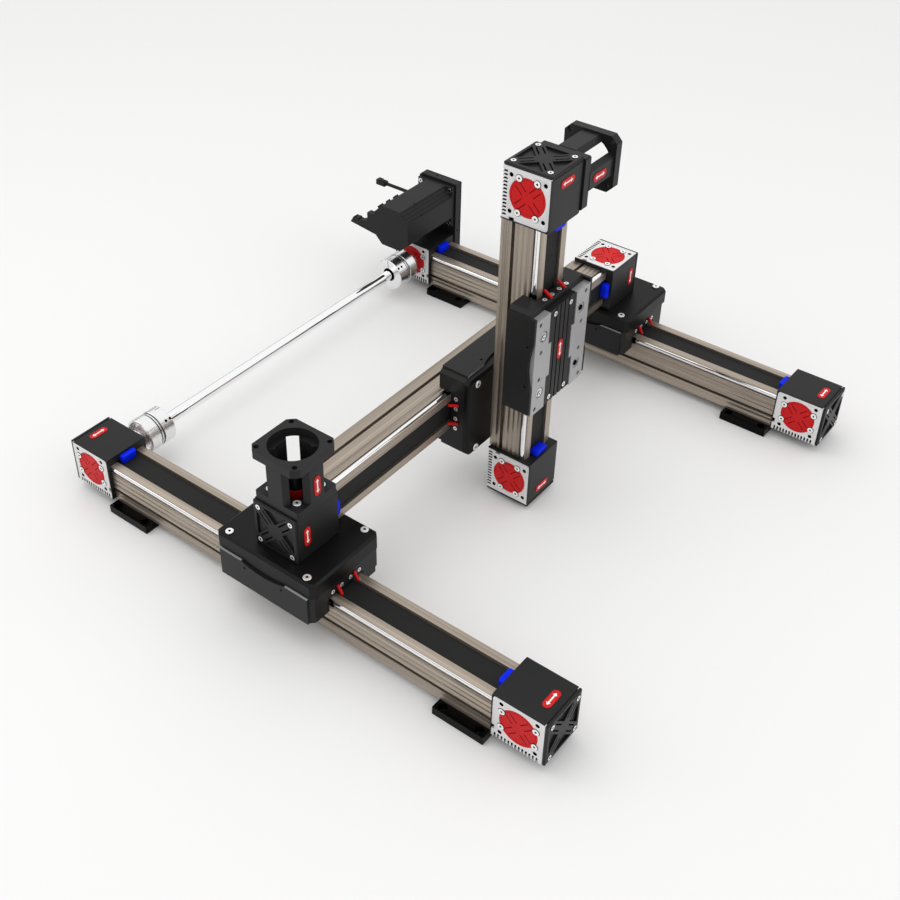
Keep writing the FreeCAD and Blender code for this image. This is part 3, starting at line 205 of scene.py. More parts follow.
def make_finish_group(name, form, fine_noise, broad_noise, relief):
    """Colour, roughness and a bumped normal from a fine and a broad noise in object coordinates.

    The form input is the fine noise's Scale, or the Stretch of both along the piece's axes."""
    group = bpy.data.node_groups.new(name, "ShaderNodeTree")
    for label, kind in (("Color", "Color"), ("Variation", "Float"), ("Roughness", "Float"), form,
                        ("Bump", "Float")):
        group.interface.new_socket(label, in_out="INPUT", socket_type="NodeSocket" + kind)
    for label, kind in (("Color", "Color"), ("Roughness", "Float"), ("Normal", "Vector")):
        group.interface.new_socket(label, in_out="OUTPUT", socket_type="NodeSocket" + kind)
    given = add(group, "NodeGroupInput")
    out = add(group, "NodeGroupOutput")
    spot = add(group, "ShaderNodeTexCoord").outputs["Object"]
    if form[0] == "Stretch":
        stretch = add(group, "ShaderNodeVectorMath", operation="MULTIPLY")
        group.links.new(spot, stretch.inputs[0])
        group.links.new(given.outputs["Stretch"], stretch.inputs[1])
        spot = stretch.outputs[0]
    fine = add(group, "ShaderNodeTexNoise", **fine_noise)
    broad = add(group, "ShaderNodeTexNoise", **broad_noise)
    for noise in (fine, broad):
        group.links.new(spot, noise.inputs["Vector"])
    if form[0] == "Scale":
        group.links.new(given.outputs["Scale"], fine.inputs["Scale"])
    blend = math_node(group, "ADD", fine.outputs["Fac"], broad.outputs["Fac"])
    centred = math_node(group, "SUBTRACT", blend, 1.0)
    level = math_node(group, "MULTIPLY_ADD", centred, given.outputs["Variation"], 1.0)
    group.links.new(tint_by(group, given.outputs["Color"], level), out.inputs["Color"])
    rough = math_node(group, "MULTIPLY", given.outputs["Roughness"], level)
    group.links.new(rough, out.inputs["Roughness"])
    bump = add(group, "ShaderNodeBump", Distance=relief)
    group.links.new(given.outputs["Bump"], bump.inputs["Strength"])
    group.links.new(fine.outputs["Fac"], bump.inputs["Height"])
    group.links.new(bump.outputs[0], out.inputs["Normal"])
    return group


# Fine anodised or cast grain over broad patches
grain_group = make_finish_group("fine_grain", ("Scale", "Float"), {"Detail": 3.0, "Roughness": 0.6},
                                {"Scale": 14.0, "Detail": 4.0, "Roughness": 0.55}, 0.0002)
# Extruded or ground metal: fine streaks and broad bands along one axis of the piece
drawn_group = make_finish_group("drawn_streaks", ("Stretch", "Vector"),
                                {"Scale": 1.0, "Detail": 5.0, "Roughness": 0.65},
                                {"Scale": 0.22, "Detail": 2.0, "Roughness": 0.5}, 0.0001)


def finish_with(group, name, color, variation, roughness, form, bump, metallic=0.0, specular=0.5):
    """A finish whose look comes from a group; the form is the group's Scale or Stretch."""
    material = bpy.data.materials.new(name)
    material.use_nodes = True
    tree = material.node_tree
    shader = tree.nodes["Principled BSDF"]
    shader.inputs["Metallic"].default_value = metallic
    shader.inputs["Specular IOR Level"].default_value = specular
    made = tree.nodes.new("ShaderNodeGroup")
    made.node_tree = group
    for socket, value in zip(made.inputs, ((*color, 1), variation, roughness, form, bump)):
        socket.default_value = value
    tree.links.new(made.outputs["Color"], shader.inputs["Base Color"])
    tree.links.new(made.outputs["Roughness"], shader.inputs["Roughness"])
    tree.links.new(made.outputs["Normal"], shader.inputs["Normal"])
    return material


def grained(*look, **shader):
    return finish_with(grain_group, *look, **shader)


def drawn(*look, **shader):
    return finish_with(drawn_group, *look, **shader)


def profile_finish(axis):
    """Champagne anodised aluminium with its draw lines along one axis."""
    across, along = 900.0, 3.0
    stretch = [along if axis == other else across for other in "xyz"]
    return drawn("champagne_profile_" + axis, (0.38, 0.325, 0.268), 1.15, 0.36, stretch, 0.2,
                 metallic=0.8)


profile_x, profile_y, profile_z = [profile_finish(axis) for axis in "xyz"]
chrome = drawn("ground_chrome", (0.90, 0.90, 0.91), 0.03, 0.05, (40.0, 40.0, 40.0), 0.002, metallic=1.0)
polished = grained("polished_coupling", (0.84, 0.84, 0.845), 0.04, 0.24, 60.0, 0.001, metallic=1.0)
turned = grained("turned_steel", (0.72, 0.72, 0.73), 0.08, 0.25, 1500.0, 0.04, metallic=1.0)
screw_zinc = grained("zinc_screw", (0.90, 0.90, 0.89), 0.06, 0.30, 1500.0, 0.04, metallic=0.6)
silver = grained("clear_anodised_plate", (0.74, 0.735, 0.735), 0.06, 0.42, 1600.0, 0.06, metallic=0.35)
strip_metal = grained("milled_strip", (0.40, 0.40, 0.405), 0.10, 0.42, 1400.0, 0.08, metallic=0.5)
black = grained("black_anodised", (0.0105, 0.0105, 0.0108), 0.25, 0.42, 1500.0, 0.08, specular=0.22)
deep_black = grained("deep_black_anodised", (0.0035, 0.0035, 0.0036), 0.25, 0.40, 1500.0, 0.08,
                     specular=0.16)
foot_black = grained("polished_black_foot", (0.0008, 0.0008, 0.0008), 0.25, 0.22, 1200.0, 0.04,
                     specular=0.08)
cast_black = grained("cast_servo_black", (0.0105, 0.0105, 0.0108), 0.25, 0.46, 1100.0, 0.12,
                     specular=0.20)
# Lighter grey for the side covers' narrow up-facing ledges: a painted highlight where they catch the light
ledge_highlight_grey = grained("bright_ledge", (0.30, 0.30, 0.30), 0.10, 0.38, 1400.0, 0.05)
# Darker red for the cover's grooves and ring line: painted shade in the recesses
groove_shade_red = grained("red_groove", (0.22, 0.003, 0.004), 0.10, 0.60, 1300.0, 0.05, specular=0.05)
red = grained("red_anodised", (0.56, 0.008, 0.010), 0.10, 0.45, 1300.0, 0.05, specular=0.16)
badge_red = grained("badge_red", (0.56, 0.010, 0.011), 0.04, 0.40, 1300.0, 0.03, specular=0.18)
white = grained("badge_white", (0.85, 0.84, 0.83), 0.02, 0.40, 1300.0, 0.02)
blue = grained("blue_bumper", (0.001, 0.018, 0.80), 0.05, 0.50, 1200.0, 0.05, specular=0.10)
belt_rubber = drawn("belt_rubber", (0.012, 0.0118, 0.0116), 0.35, 0.60, (500.0, 500.0, 500.0), 0.20,
                    specular=0.18)
dark = grained("socket_shadow", (0.0008, 0.0008, 0.0008), 0.10, 0.70, 900.0, 0.05, specular=0.02)
cable_jacket = grained("cable_jacket", (0.004, 0.004, 0.0045), 0.10, 0.45, 900.0, 0.08, specular=0.22)


def paint(piece, *materials):
    piece.data.materials.clear()
    for material in materials:
        piece.data.materials.append(material)
    return piece


def repaint(piece, index, material):
    piece.data.materials[index] = material
    return piece


# The other CAD nodes that show are black, and the rest are replaced below
CAD_FINISHES = (
    (profile_x, ("near_rail_profile", "far_rail_profile")), (profile_y, ("beam_profile",)),
    (profile_z, ("z_profile",)), (belt_rubber, ("rail_belts", "beam_belt", "z_belt", "reduction_belt")),
    (red, ("beam_drive_pulley", "z_drive_pulley")),
    (turned, ("rail_drive_pulleys", "near_idler_pulley", "far_idler_pulley", "driven_timing_pulley",
              "servo_timing_pulley", "beam_idler_pulley", "z_idler_pulley", "y_guide_rollers",
              "x_guide_rollers", "z_guide_rollers")))
finish_of = {name: finish for finish, names in CAD_FINISHES for name in names}
for name, item in nodes.items():
    paint(item, finish_of.get(name, black))


# Modelling helpers

def pick(*pieces):
    """Select only these pieces, with the first as the active one."""
    bpy.ops.object.select_all(action="DESELECT")
    for piece in pieces:
        piece.select_set(True)
    bpy.context.view_layer.objects.active = pieces[0]
    return pieces[0]


def apply_modifier(piece, kind, **values):
    modifier = piece.modifiers.new(kind.lower(), kind)
    for name, value in values.items():
        setattr(modifier, name, value)
    pick(piece)
    bpy.ops.object.modifier_apply(modifier=modifier.name)
    return piece


def smooth(piece, angle=35):
    pick(piece)
    bpy.ops.object.shade_smooth_by_angle(angle=radians(angle))
    return piece


def soft_edges(piece, width, segments=2, angle=35):
    apply_modifier(piece, "BEVEL", width=width, segments=segments, limit_method="ANGLE",
                   angle_limit=radians(angle), harden_normals=False)
    smooth(piece, angle)
    return apply_modifier(piece, "WEIGHTED_NORMAL", keep_sharp=True)


def facet(piece):
    """Shade every face flat."""
    pick(piece)
    bpy.ops.object.shade_flat()
    return piece


def clean_mesh(piece, flat_angle=None):
    """Merge doubles, join faces that lie in one plane if asked, and turn every face outwards."""
    pick(piece)
    bpy.ops.object.mode_set(mode="EDIT")
    bpy.ops.mesh.select_all(action="SELECT")
    bpy.ops.mesh.remove_doubles(threshold=1e-6)
    if flat_angle:
        bpy.ops.mesh.dissolve_limited(angle_limit=radians(flat_angle))
    bpy.ops.mesh.normals_make_consistent(inside=False)
    bpy.ops.object.mode_set(mode="OBJECT")
    return piece


def cube(size, centre=(0, 0, 0)):
    bpy.ops.mesh.primitive_cube_add(size=1, location=centre, scale=size)
    bpy.ops.object.transform_apply()
    return bpy.context.object


def cylinder(radius, depth, centre=(0, 0, 0), sides=32):
    bpy.ops.mesh.primitive_cylinder_add(vertices=sides, radius=radius, depth=depth, location=centre)
    bpy.ops.object.transform_apply()
    return bpy.context.object


def carve(piece, *tools):
    """Cut a piece with one or more tools that don't touch each other."""
    tool = join(*tools)
    apply_modifier(piece, "BOOLEAN", object=tool, operation="DIFFERENCE", solver="EXACT")
    bpy.data.objects.remove(tool)
    return piece


def moved(piece, place):
    piece.data.transform(place)
    return piece


def join(*pieces):
    """Join pieces into the first of them."""
    pick(*pieces)
    if len(pieces) > 1:
        bpy.ops.object.join()
    return pieces[0]


def new_object(name, data):
    made = bpy.data.objects.new(name, data)
    bpy.context.scene.collection.objects.link(made)
    return made


def curve_mesh(name, loops, flat=True, closed=True, **settings):
    """A mesh from straight-edged curves: outlines in XY, or a half section in XZ."""
    curve = bpy.data.curves.new(name, "CURVE")
    curve.dimensions = "2D" if flat else "3D"
    for points in loops:
        spline = curve.splines.new("POLY")
        spline.points.add(len(points) - 1)
        for point, (a, b) in zip(spline.points, points):
            point.co = (a, b, 0, 1) if flat else (a, 0, b, 1)
        spline.use_cyclic_u = closed
    for key, value in settings.items():
        setattr(curve, key, value)
    pick(new_object(name, curve))
    bpy.ops.object.convert(target="MESH")
    return bpy.context.object


def flat_plate(name, outline, holes, thickness, bevel=0.0003):
    """A sheet in XY, from Z 0 up, with rounded edges and round holes (x, y, radius)."""
    loops = [outline]
    for x, y, radius in holes:
        sides = 64 if radius > 0.01 else 20
        loops.append([(x + radius * cos(2 * pi * i / sides), y - radius * sin(2 * pi * i / sides))
                      for i in range(sides)])
    piece = curve_mesh(name, loops, fill_mode="BOTH", extrude=thickness / 2 - bevel, bevel_depth=bevel,
                       bevel_resolution=1, offset=-bevel)
    moved(piece, shift(z=thickness / 2))
    return smooth(piece)


def bar(name, outline, length):
    """A straight bar with a sharp outline in XY, from Z 0 up to its length."""
    piece = curve_mesh(name, [outline], fill_mode="BOTH", extrude=length / 2)
    moved(piece, shift(z=length / 2))
    return clean_mesh(piece)


def eased(points, ease, closed):
    """A half section with a small bevel at each corner; an open one keeps its two ends on the axis."""
    count = len(points)
    cut = []
    for index, here in enumerate(points):
        if not closed and index in (0, count - 1):
            cut.append(here)
            continue
        here = Vector(here)
        for other in (Vector(points[index - 1]), Vector(points[(index + 1) % count])):
            step = other - here
            cut.append(tuple(here + step.normalized() * min(ease, step.length * 0.45)))
    return cut


def lathe(name, section, sides=48, ease=0.0003):
    """Turned piece about Z from (radius, height) points; off the axis it is a ring."""
    ring = section[0][0] > 0
    piece = curve_mesh(name, [eased(section, ease, ring)], flat=False, closed=ring)
    apply_modifier(piece, "SCREW", steps=sides, render_steps=sides, axis="Z", use_merge_vertices=True,
                   merge_threshold=1e-6)
    return smooth(clean_mesh(piece), 30)


def copies(name, source, places, body, replaced=None):
    """Copies of a modelled piece at several places, joined as one piece that rides on a body."""
    whole = join(*[moved(new_object(name, source.data.copy()), place) for place in places])
    whole.name = name
    if any(place.to_3x3().determinant() < 0 for place in places):
        clean_mesh(whole)
    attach(whole, body)
    if replaced:
        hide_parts(replaced)
    return whole


def retire(*sources):
    for source in sources:
        bpy.data.objects.remove(source)


def node_copy(node):
    """A CAD node's own shape, cleaned for modelling."""
    return clean_mesh(new_object(node + "_dressed", nodes[node].data.copy()), flat_angle=1)


def stand_in_for(node, piece):
    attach(piece, nodes[node]["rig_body"])
    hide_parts(node)
    return piece


def paint_where(piece, index, test):
    """Give a material to the faces whose centre and normal pass a test."""
    for polygon in piece.data.polygons:
        if test(polygon.center, polygon.normal):
            polygon.material_index = index
    return piece


# Parts of an end block

def rounded_corner(x, y, radius, start, steps=6):
    """Points of a quarter turn about a corner's centre."""
    return [(x + radius * cos(start + i * pi / 2 / steps), y + radius * sin(start + i * pi / 2 / steps))
            for i in range(steps + 1)]


def make_side_plate():
    """Side plate in (U, W), with comb teeth, notch, cover opening and four tapped holes."""
    low, high = PLATE_INSET, BLOCK_HEIGHT - LIP_THICK
    ease, notch_low, notch_high, notch_inner = 0.0006, 0.0097, 0.016, PLATE_LENGTH - 0.003
    outline = [(0, low)]
    for number in range(TOOTH_COUNT):
        start = TOOTH_START + number * TOOTH_PITCH
        stop, top = start + TOOTH_GAP, low + TOOTH_DEPTH
        outline += [(start, low), (start, top - ease), (start + ease, top),
                    (stop - ease, top), (stop, top - ease), (stop, low)]
    outline += [(PLATE_LENGTH, low), (PLATE_LENGTH, notch_low), (notch_inner, notch_low),
                (notch_inner, notch_high), (PLATE_LENGTH, notch_high)]
    outline += rounded_corner(PLATE_LENGTH - PLATE_CORNER, high - PLATE_CORNER, PLATE_CORNER, 0)
    outline += [(0, high)]
    holes = [(AXLE_INSET, AXLE_HEIGHT, COVER_RADIUS + 2 * HAIR)]
    holes += [(AXLE_INSET + u, AXLE_HEIGHT + w, TAPPED_RADIUS)
              for u, w in corners(TAPPED_SIDE, TAPPED_SIDE)]
    return paint(flat_plate("side_plate", outline, holes, PLATE_THICK, 0.00025), silver, dark)


def shade_openings(plate):
    """Paint the walls of a plate's slots and tapped holes with painted shade, as dark as they look from
    outside.
    """
    margin, steepest = 0.002, 0.2

    def is_wall(centre, normal):
        u, w = centre.x, centre.y
        in_comb = PLATE_INSET + HAIR < w < PLATE_INSET + TOOTH_DEPTH + 2 * HAIR
        in_slot = in_comb and margin < u < PLATE_LENGTH - margin
        off_hole = Vector((abs(u - AXLE_INSET) - TAPPED_SIDE, abs(w - AXLE_HEIGHT) - TAPPED_SIDE))
        in_hole = radius_of(off_hole) < TAPPED_RADIUS + HAIR
        return (in_slot or in_hole) and abs(normal.z) <= steepest

    return paint_where(plate, 1, is_wall)


def make_cover():
    """Bearing cover: disc with a fine ring line and a broad diagonal cross between pairs of grooves."""
    face = PLATE_THICK
    piece = lathe("cover", [(0, 0), (COVER_RADIUS, 0), (COVER_RADIUS, face), (0.0192, face),
                            (0.0190, face - 0.0004), (0.0185, face - 0.0004), (0.0183, face),
                            (0, face)], 72, 0.0002)
    groove, middle, ring_line, deepest = (0.0112, 0.0009, 0.0014), 0.0116, 0.0175, 0.0009
    tools = [moved(cube(groove, (middle, side, face)), turn)
             for turn in QUARTERS for side in (-GROOVE_SIDE, GROOVE_SIDE)]
    clean_mesh(piece, flat_angle=1)
    carve(piece, *tools)
    paint(facet(piece), red, groove_shade_red)
    # Groove and ring line floors get the darker red as painted shade
    return paint_where(piece, 1, lambda centre, _: 2 * HAIR < face - centre.z < deepest
                       and radius_of(centre) < ring_line)


def make_bored_cover(cover):
    piece = new_object("bored_cover", cover.data.copy())
    return facet(carve(piece, cylinder(SHAFT_GAP, 0.02, sides=40)))


def make_cap():
    """End cap: bevelled square, four sunk fields, a raised centre, and two grooves along each arm."""
    piece = cube((2 * CAP_HALF, 2 * CAP_HALF, CAP_THICK), (0, 0, CAP_THICK / 2))
    soft_edges(piece, 0.0014, 2)
    inner, arm, field_depth = CAP_HALF - 0.0040, 0.0092, 0.0024
    for quarter in range(4):
        field = bar("field", [(-(inner - arm), inner), (0, arm), (inner - arm, inner)], 0.004)
        carve(piece, moved(field, spin(90 * quarter, "Z") @ shift(z=CAP_THICK - field_depth)))
    half_wide, deep, rise, start, length = 0.0012, 0.0014, 0.0006, 0.0098, 0.0150
    for turn in QUARTERS:
        for side in (-GROOVE_SIDE, GROOVE_SIDE):
            groove = bar("groove", [(-half_wide, rise), (0, -deep), (half_wide, rise)], length)
            carve(piece, moved(groove, turn @ shift(start, side, CAP_THICK) @ LENGTHWAYS))
    paint(facet(piece), black, dark)

    def in_groove(centre, normal):
        """Sloping faces inside the cap's edge belong to the grooves, as do their upright ends."""
        inside = max(abs(centre.x), abs(centre.y)) < inner
        sunk = CAP_THICK - deep - 2 * HAIR < centre.z < CAP_THICK - HAIR
        return inside and sunk and 0.2 < normal.z < 0.95

    # Groove faces get painted shade
    return paint_where(piece, 1, in_groove)


def shade_socket(screw, rim, socket, top):
    """Paint a screw with painted shade outside its head's rim and in its socket."""
    def shaded(centre, normal):
        reach = radius_of(centre)
        return reach > rim or (reach < socket and centre.z < top - HAIR)

    return paint_where(screw, 1, shaded)


def make_flat_screw(radius, socket=0.0013):
    """Flush screw: a flat bright head with a socket of painted shade, set in a thin ring of painted shade.
    """
    head = radius * 0.87
    piece = lathe("screw", [(0, -0.0004), (radius, -0.0004), (radius, 0.0002), (head, 0.0002),
                            (head, SCREW_PROUD), (0, SCREW_PROUD)], 36, HAIR)
    carve(piece, cylinder(socket, 0.0012, (0, 0, SCREW_PROUD), 6))
    paint(facet(piece), screw_zinc, dark)
    return shade_socket(piece, head * 0.995, socket, SCREW_PROUD)


def make_cap_head_screw(radius, height, socket):
    """Low socket head screw on a thin washer; the washer and the socket get painted shade."""
    washer = radius * 1.12
    piece = lathe("screw", [(0, 0), (washer, 0), (washer, 0.0002), (radius, 0.0002), (radius, height),
                            (0, height)], 40, 0.00035)
    carve(piece, cylinder(socket, 0.0020, (0, 0, height), 6))
    paint(smooth(piece, 30), screw_zinc, dark)
    return shade_socket(piece, radius * 1.005, socket, height)


def make_bumper():
    """Soft stop: a block with rounded free corners and a soft rim."""
    width, thick, high, corner = 0.0195, 0.0068, 0.0090, 0.003
    outline = [(0, -width / 2)]
    outline += rounded_corner(thick - corner, corner - width / 2, corner, -pi / 2)
    outline += rounded_corner(thick - corner, width / 2 - corner, corner, 0)
    outline += [(0, width / 2)]
    return paint(flat_plate("bumper", outline, [], high, 0.0006), blue)


def make_badge():
    """Pill-shaped badge with a raised rim and a plain two-headed travel arrow."""
    half, radius, thick = 0.0075, 0.0045, 0.0006
    arc = [(half + radius * sin(i * pi / 12), radius * cos(i * pi / 12)) for i in range(13)]
    outline = list(reversed(arc + [(-x, -y) for x, y in arc]))
    plate = flat_plate("badge", outline, [], thick, 0.0002)
    field = bar("field", [(x * 0.93, y * 0.86) for x, y in outline], 0.001)
    carve(plate, moved(field, shift(z=thick - 0.00012)))
    paint(smooth(plate), badge_red)
    tip, neck, thin, wing = 0.0085, 0.0052, 0.0008, 0.0023
    arrow = [(tip, 0), (neck, wing), (neck, thin), (-neck, thin), (-neck, wing), (-tip, 0),
             (-neck, -wing), (-neck, -thin), (neck, -thin), (neck, -wing)]
    mark = paint(flat_plate("badge_arrow", arrow, [], 0.0003, 0.00006), white)
    return join(plate, moved(mark, shift(z=thick - 0.0002)))


side_plate = shade_openings(make_side_plate())
cover = make_cover()
bored_cover = make_bored_cover(cover)
cap = make_cap()
bumper = make_bumper()
badge = make_badge()
block_screw = make_flat_screw(0.0041)
cap_screw = make_flat_screw(0.0034, 0.0012)
small_screw = make_flat_screw(0.0029, 0.0011)
adapter_screw = make_cap_head_screw(0.0043, 0.0016, 0.0016)


def side_face(module, end, sign, u=0, w=0, lift=0):
    """Place on an end block's side face, with the piece's Z out and its X along the module's U."""
    spot = shift(AXLE_INSET + u, sign * (HOUSING_HALF + lift), AXLE_HEIGHT + w)
    return module.end(end) @ spot @ SIDE_UP[sign]


def dress_blocks(prefix, modules, bare=(), bored=(), dark_plates=(), dark_node=None):
    """Plates, covers, caps, stops and their screws on the end blocks of a body's modules."""
    plates, dark_ones, covers, bored_covers, caps, stops = [], [], [], [], [], []
    block_screws, cap_screws = [], []
    for module in modules:
        for end in (0, 1):
            block = module.end(end)
            for sign in (1, -1):
                key = (module, end, sign)
                side = HOUSING_HALF if sign > 0 else -HOUSING_HALF - PLATE_THICK
                place = block @ shift(0, side, 0) @ PLATE_FLIP
                (dark_ones if key in dark_plates else plates).append(place)
                if key in bare:
                    continue
                (bored_covers if key in bored else covers).append(side_face(module, end, sign))
                for u, w in corners(*COVER_SCREWS):
                    block_screws.append(side_face(module, end, sign, u, w, PLATE_THICK))
            face = block @ shift(z=BLOCK_HEIGHT / 2) @ OUTWARD
            caps.append(face)
            cap_screws += [face @ shift(a, b, CAP_THICK)
                           for a, b in corners(CAP_SCREW_SIDE, CAP_SCREW_SIDE)]
            stops.append(block @ shift(HOUSING_LENGTH, 0, STOP_HEIGHT))
    body = modules[0].body
    copies(prefix + "_plates", side_plate, plates, body, prefix + "_side_plates")
    if dark_ones:
        repaint(side_plate, 0, deep_black)
        copies(prefix + "_black_plates", side_plate, dark_ones, body, dark_node)
        repaint(side_plate, 0, silver)
    copies(prefix + "_covers", cover, covers, body, prefix + "_bearing_covers")
    if bored_covers:
        copies(prefix + "_shaft_covers", bored_cover, bored_covers, body,
               prefix + "_bearing_covers")
    copies(prefix + "_caps", cap, caps, body, prefix + "_end_caps")
    copies(prefix + "_stops", bumper, stops, body, prefix + "_bumpers")
    copies(prefix + "_block_screws", block_screw, block_screws, body)
    copies(prefix + "_cap_screws", cap_screw, cap_screws, body)


dress_blocks("rail", (near_rail, far_rail), bare=((far_rail, 0, 1),),
             bored=((near_rail, 0, 1), (far_rail, 0, -1)))
dress_blocks("beam", (beam,), bare=((beam, 0, 1),),
             dark_plates=((beam, 0, 1), (beam, 0, -1), (beam, 1, 1)), dark_node="beam_dark_plates")
dress_blocks("z", (upright,), bare=((upright, 1, 1),), dark_plates=((upright, 1, 1),),
             dark_node="z_dark_plate")


def top_badge(module, end, u=0.012):
    """Badge across the belt side of a block, near its outer end."""
    return module.end(end) @ shift(u, 0, BLOCK_HEIGHT) @ spin(90, "Z")


# Badges on the motor bells stand along their axes, on the face that points to +X
bell_low, bell_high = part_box("beam_motor_bell")
z_bell_low, z_bell_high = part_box("z_motor_bell")
beam_bell_axis = (bell_low + bell_high) / 2
z_bell_axis = (z_bell_low + z_bell_high) / 2
beam_badge_up, z_badge_up = 0.0275, 0.0285
bell_badge = shift(beam_bell_axis.x + BELL_COLUMN, beam_bell_axis.y, bell_low.z + beam_badge_up) @ INWARD
z_bell_badge = shift(z_bell_axis.x + BELL_COLUMN, z_bell_low.y + z_badge_up, z_bell_axis.z) @ INWARD
z_bell_badge @= spin(90, "Z")
for prefix, modules, more, body in (("rail", (near_rail, far_rail), [], "base"),
                                    ("beam", (beam,), [bell_badge], "gantry"),
                                    ("z", (upright,), [z_bell_badge], "x_head")):
    places = [top_badge(module, end) for module in modules for end in (0, 1)]
    copies(prefix + "_badges", badge, places + more, body)


# Black parts that keep their CAD shape, with softened edges

def block_edge_tools(module):
    """Shallow wedges that bevel the two belt-side edges of both housings of a module."""
    tools = []
    wide, deep, past, over = 0.0042, 0.0007, 0.0003, 0.001
    for end in (0, 1):
        for sign in (1, -1):
            rim = sign * (HOUSING_HALF + PLATE_THICK)
            inner, outer = rim - sign * wide, rim + sign * past
            section = [(inner, BLOCK_HEIGHT), (outer, BLOCK_HEIGHT - deep),
                       (outer, BLOCK_HEIGHT + over), (inner, BLOCK_HEIGHT + over)]
            tool = bar("edge", section, HOUSING_LENGTH + 2 * over)
            tools.append(moved(tool, module.end(end) @ shift(-over) @ LENGTHWAYS))
    return tools


def dress_housings(node, modules):
    piece = node_copy(node)
    carve(piece, *[tool for module in modules for tool in block_edge_tools(module)])
    paint(piece, black, dark)
    soft_edges(clean_mesh(piece, flat_angle=1), 0.0003)
    backs = [module.matrix.inverted() for module in modules]

    # The plate seats, seen through the plates' slots and holes, get painted shade
    def on_seat(centre, normal):
        return any(abs(abs((back @ centre).y) - HOUSING_HALF) < 2 * HAIR for back in backs)

    return stand_in_for(node, paint_where(piece, 1, on_seat))


dress_housings("rail_housings", (near_rail, far_rail))
dress_housings("beam_housings", (beam,))
dress_housings("z_housings", (upright,))

for name, width, finish in (
        ("y_carriages", 0.0004, black), ("x_carriage", 0.0004, black), ("z_carriage", 0.0004, black),
        ("y_adapter_plates", 0.0004, deep_black), ("x_adapter_plate", 0.0004, deep_black),
        ("beam_motor_bell", 0.0004, black), ("z_motor_bell", 0.0004, black),
        ("z_centre_cover", 0.0003, black), ("z_mounting_strips", 0.0003, strip_metal),
        ("y_wipers", 0.0003, red), ("x_wipers", 0.0003, red), ("z_wipers", 0.0003, red),
        ("rail_feet", 0.0005, foot_black), ("pulley_box", 0.0006, cast_black),
        ("pulley_box_lid", 0.0004, cast_black)):
    stand_in_for(name, soft_edges(paint(node_copy(name), finish), width))


# Carriages

def carriage_fittings(prefix, modules, mids, body):
    """Screws in the end faces, and a small wiper round each rod at both ends of a carriage."""
    screws, wipers = [], []
    for module in modules:
        for sign in (1, -1):
            end_face = module.at(mids[module] + sign * CARRIAGE_HALF)
            turn = INWARD if sign > 0 else OUTWARD
            screws += [end_face @ shift(0, v, END_SCREW_HEIGHT) @ turn for v in END_SCREW_SIDES]
            wipers += [end_face @ shift(0, v, ROD_HEIGHT) @ turn for v in (-ROD_SIDE, ROD_SIDE)]
    copies(prefix + "_end_screws", small_screw, screws, body)
    copies(prefix + "_rod_wipers", rod_wiper, wipers, body)


def make_rod_wiper():
    """Felt-lined wiper: a short round-cornered block bored for the rod."""
    piece = cube((0.0092, 0.0092, 0.0050), (0, 0, 0.0012))
    soft_edges(piece, 0.0012, 3)
    carve(piece, cylinder(ROD_RADIUS + HAIR, 0.02, sides=40))
    return paint(smooth(piece), dark)


def dress_side_covers(node, modules, finish):
    """Side covers; their narrow upper ledges, past the adapter plate, have a finish of their own, a
    lighter grey as painted highlight on the rails' and beam's covers.
    """
    piece = paint(node_copy(node), black, finish)
    backs = [module.matrix.inverted() for module in modules]

    def on_ledge(centre, normal):
        return any(abs((back @ centre).z - CARRIAGE_TOP) < HAIR for back in backs)

    paint_where(piece, 1, on_ledge)
    return stand_in_for(node, soft_edges(piece, 0.0003))


rod_wiper = make_rod_wiper()
y_mid = {rail: middle_of("y_carriages").x for rail in (near_rail, far_rail)}
x_mid = {beam: middle_of("x_carriage").y - beam.matrix.translation.y}
z_mid = {upright: middle_of("z_carriage").z - upright.matrix.translation.z}
# The rails' and beam's cover ledges get the painted highlight; the upright's stay black
dress_side_covers("y_side_covers", (near_rail, far_rail), ledge_highlight_grey)
dress_side_covers("x_side_covers", (beam,), ledge_highlight_grey)
dress_side_covers("z_side_covers", (upright,), black)
carriage_fittings("y_carriage", (near_rail, far_rail), y_mid, "gantry")
carriage_fittings("x_carriage", (beam,), x_mid, "x_head")
carriage_fittings("z_carriage", (upright,), z_mid, "z_head")

# Screws on the adapter plates
y_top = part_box("y_adapter_plates")[1].z
spots = [shift(y_mid[rail] + a, rail.matrix.translation.y + b, y_top)
         for rail in (near_rail, far_rail) for a, b in corners(*ADAPTER_SCREWS)]
copies("y_adapter_screws", adapter_screw, spots, "gantry")
x_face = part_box("x_adapter_plate")[1].x
x_plate_mid = middle_of("x_adapter_plate")
spots = [shift(x_face, x_plate_mid.y + a, x_plate_mid.z + b) @ INWARD
         for a, b in corners(*ADAPTER_SCREWS)]
copies("x_adapter_screws", adapter_screw, spots, "x_head")


# Front of the upright's carriage

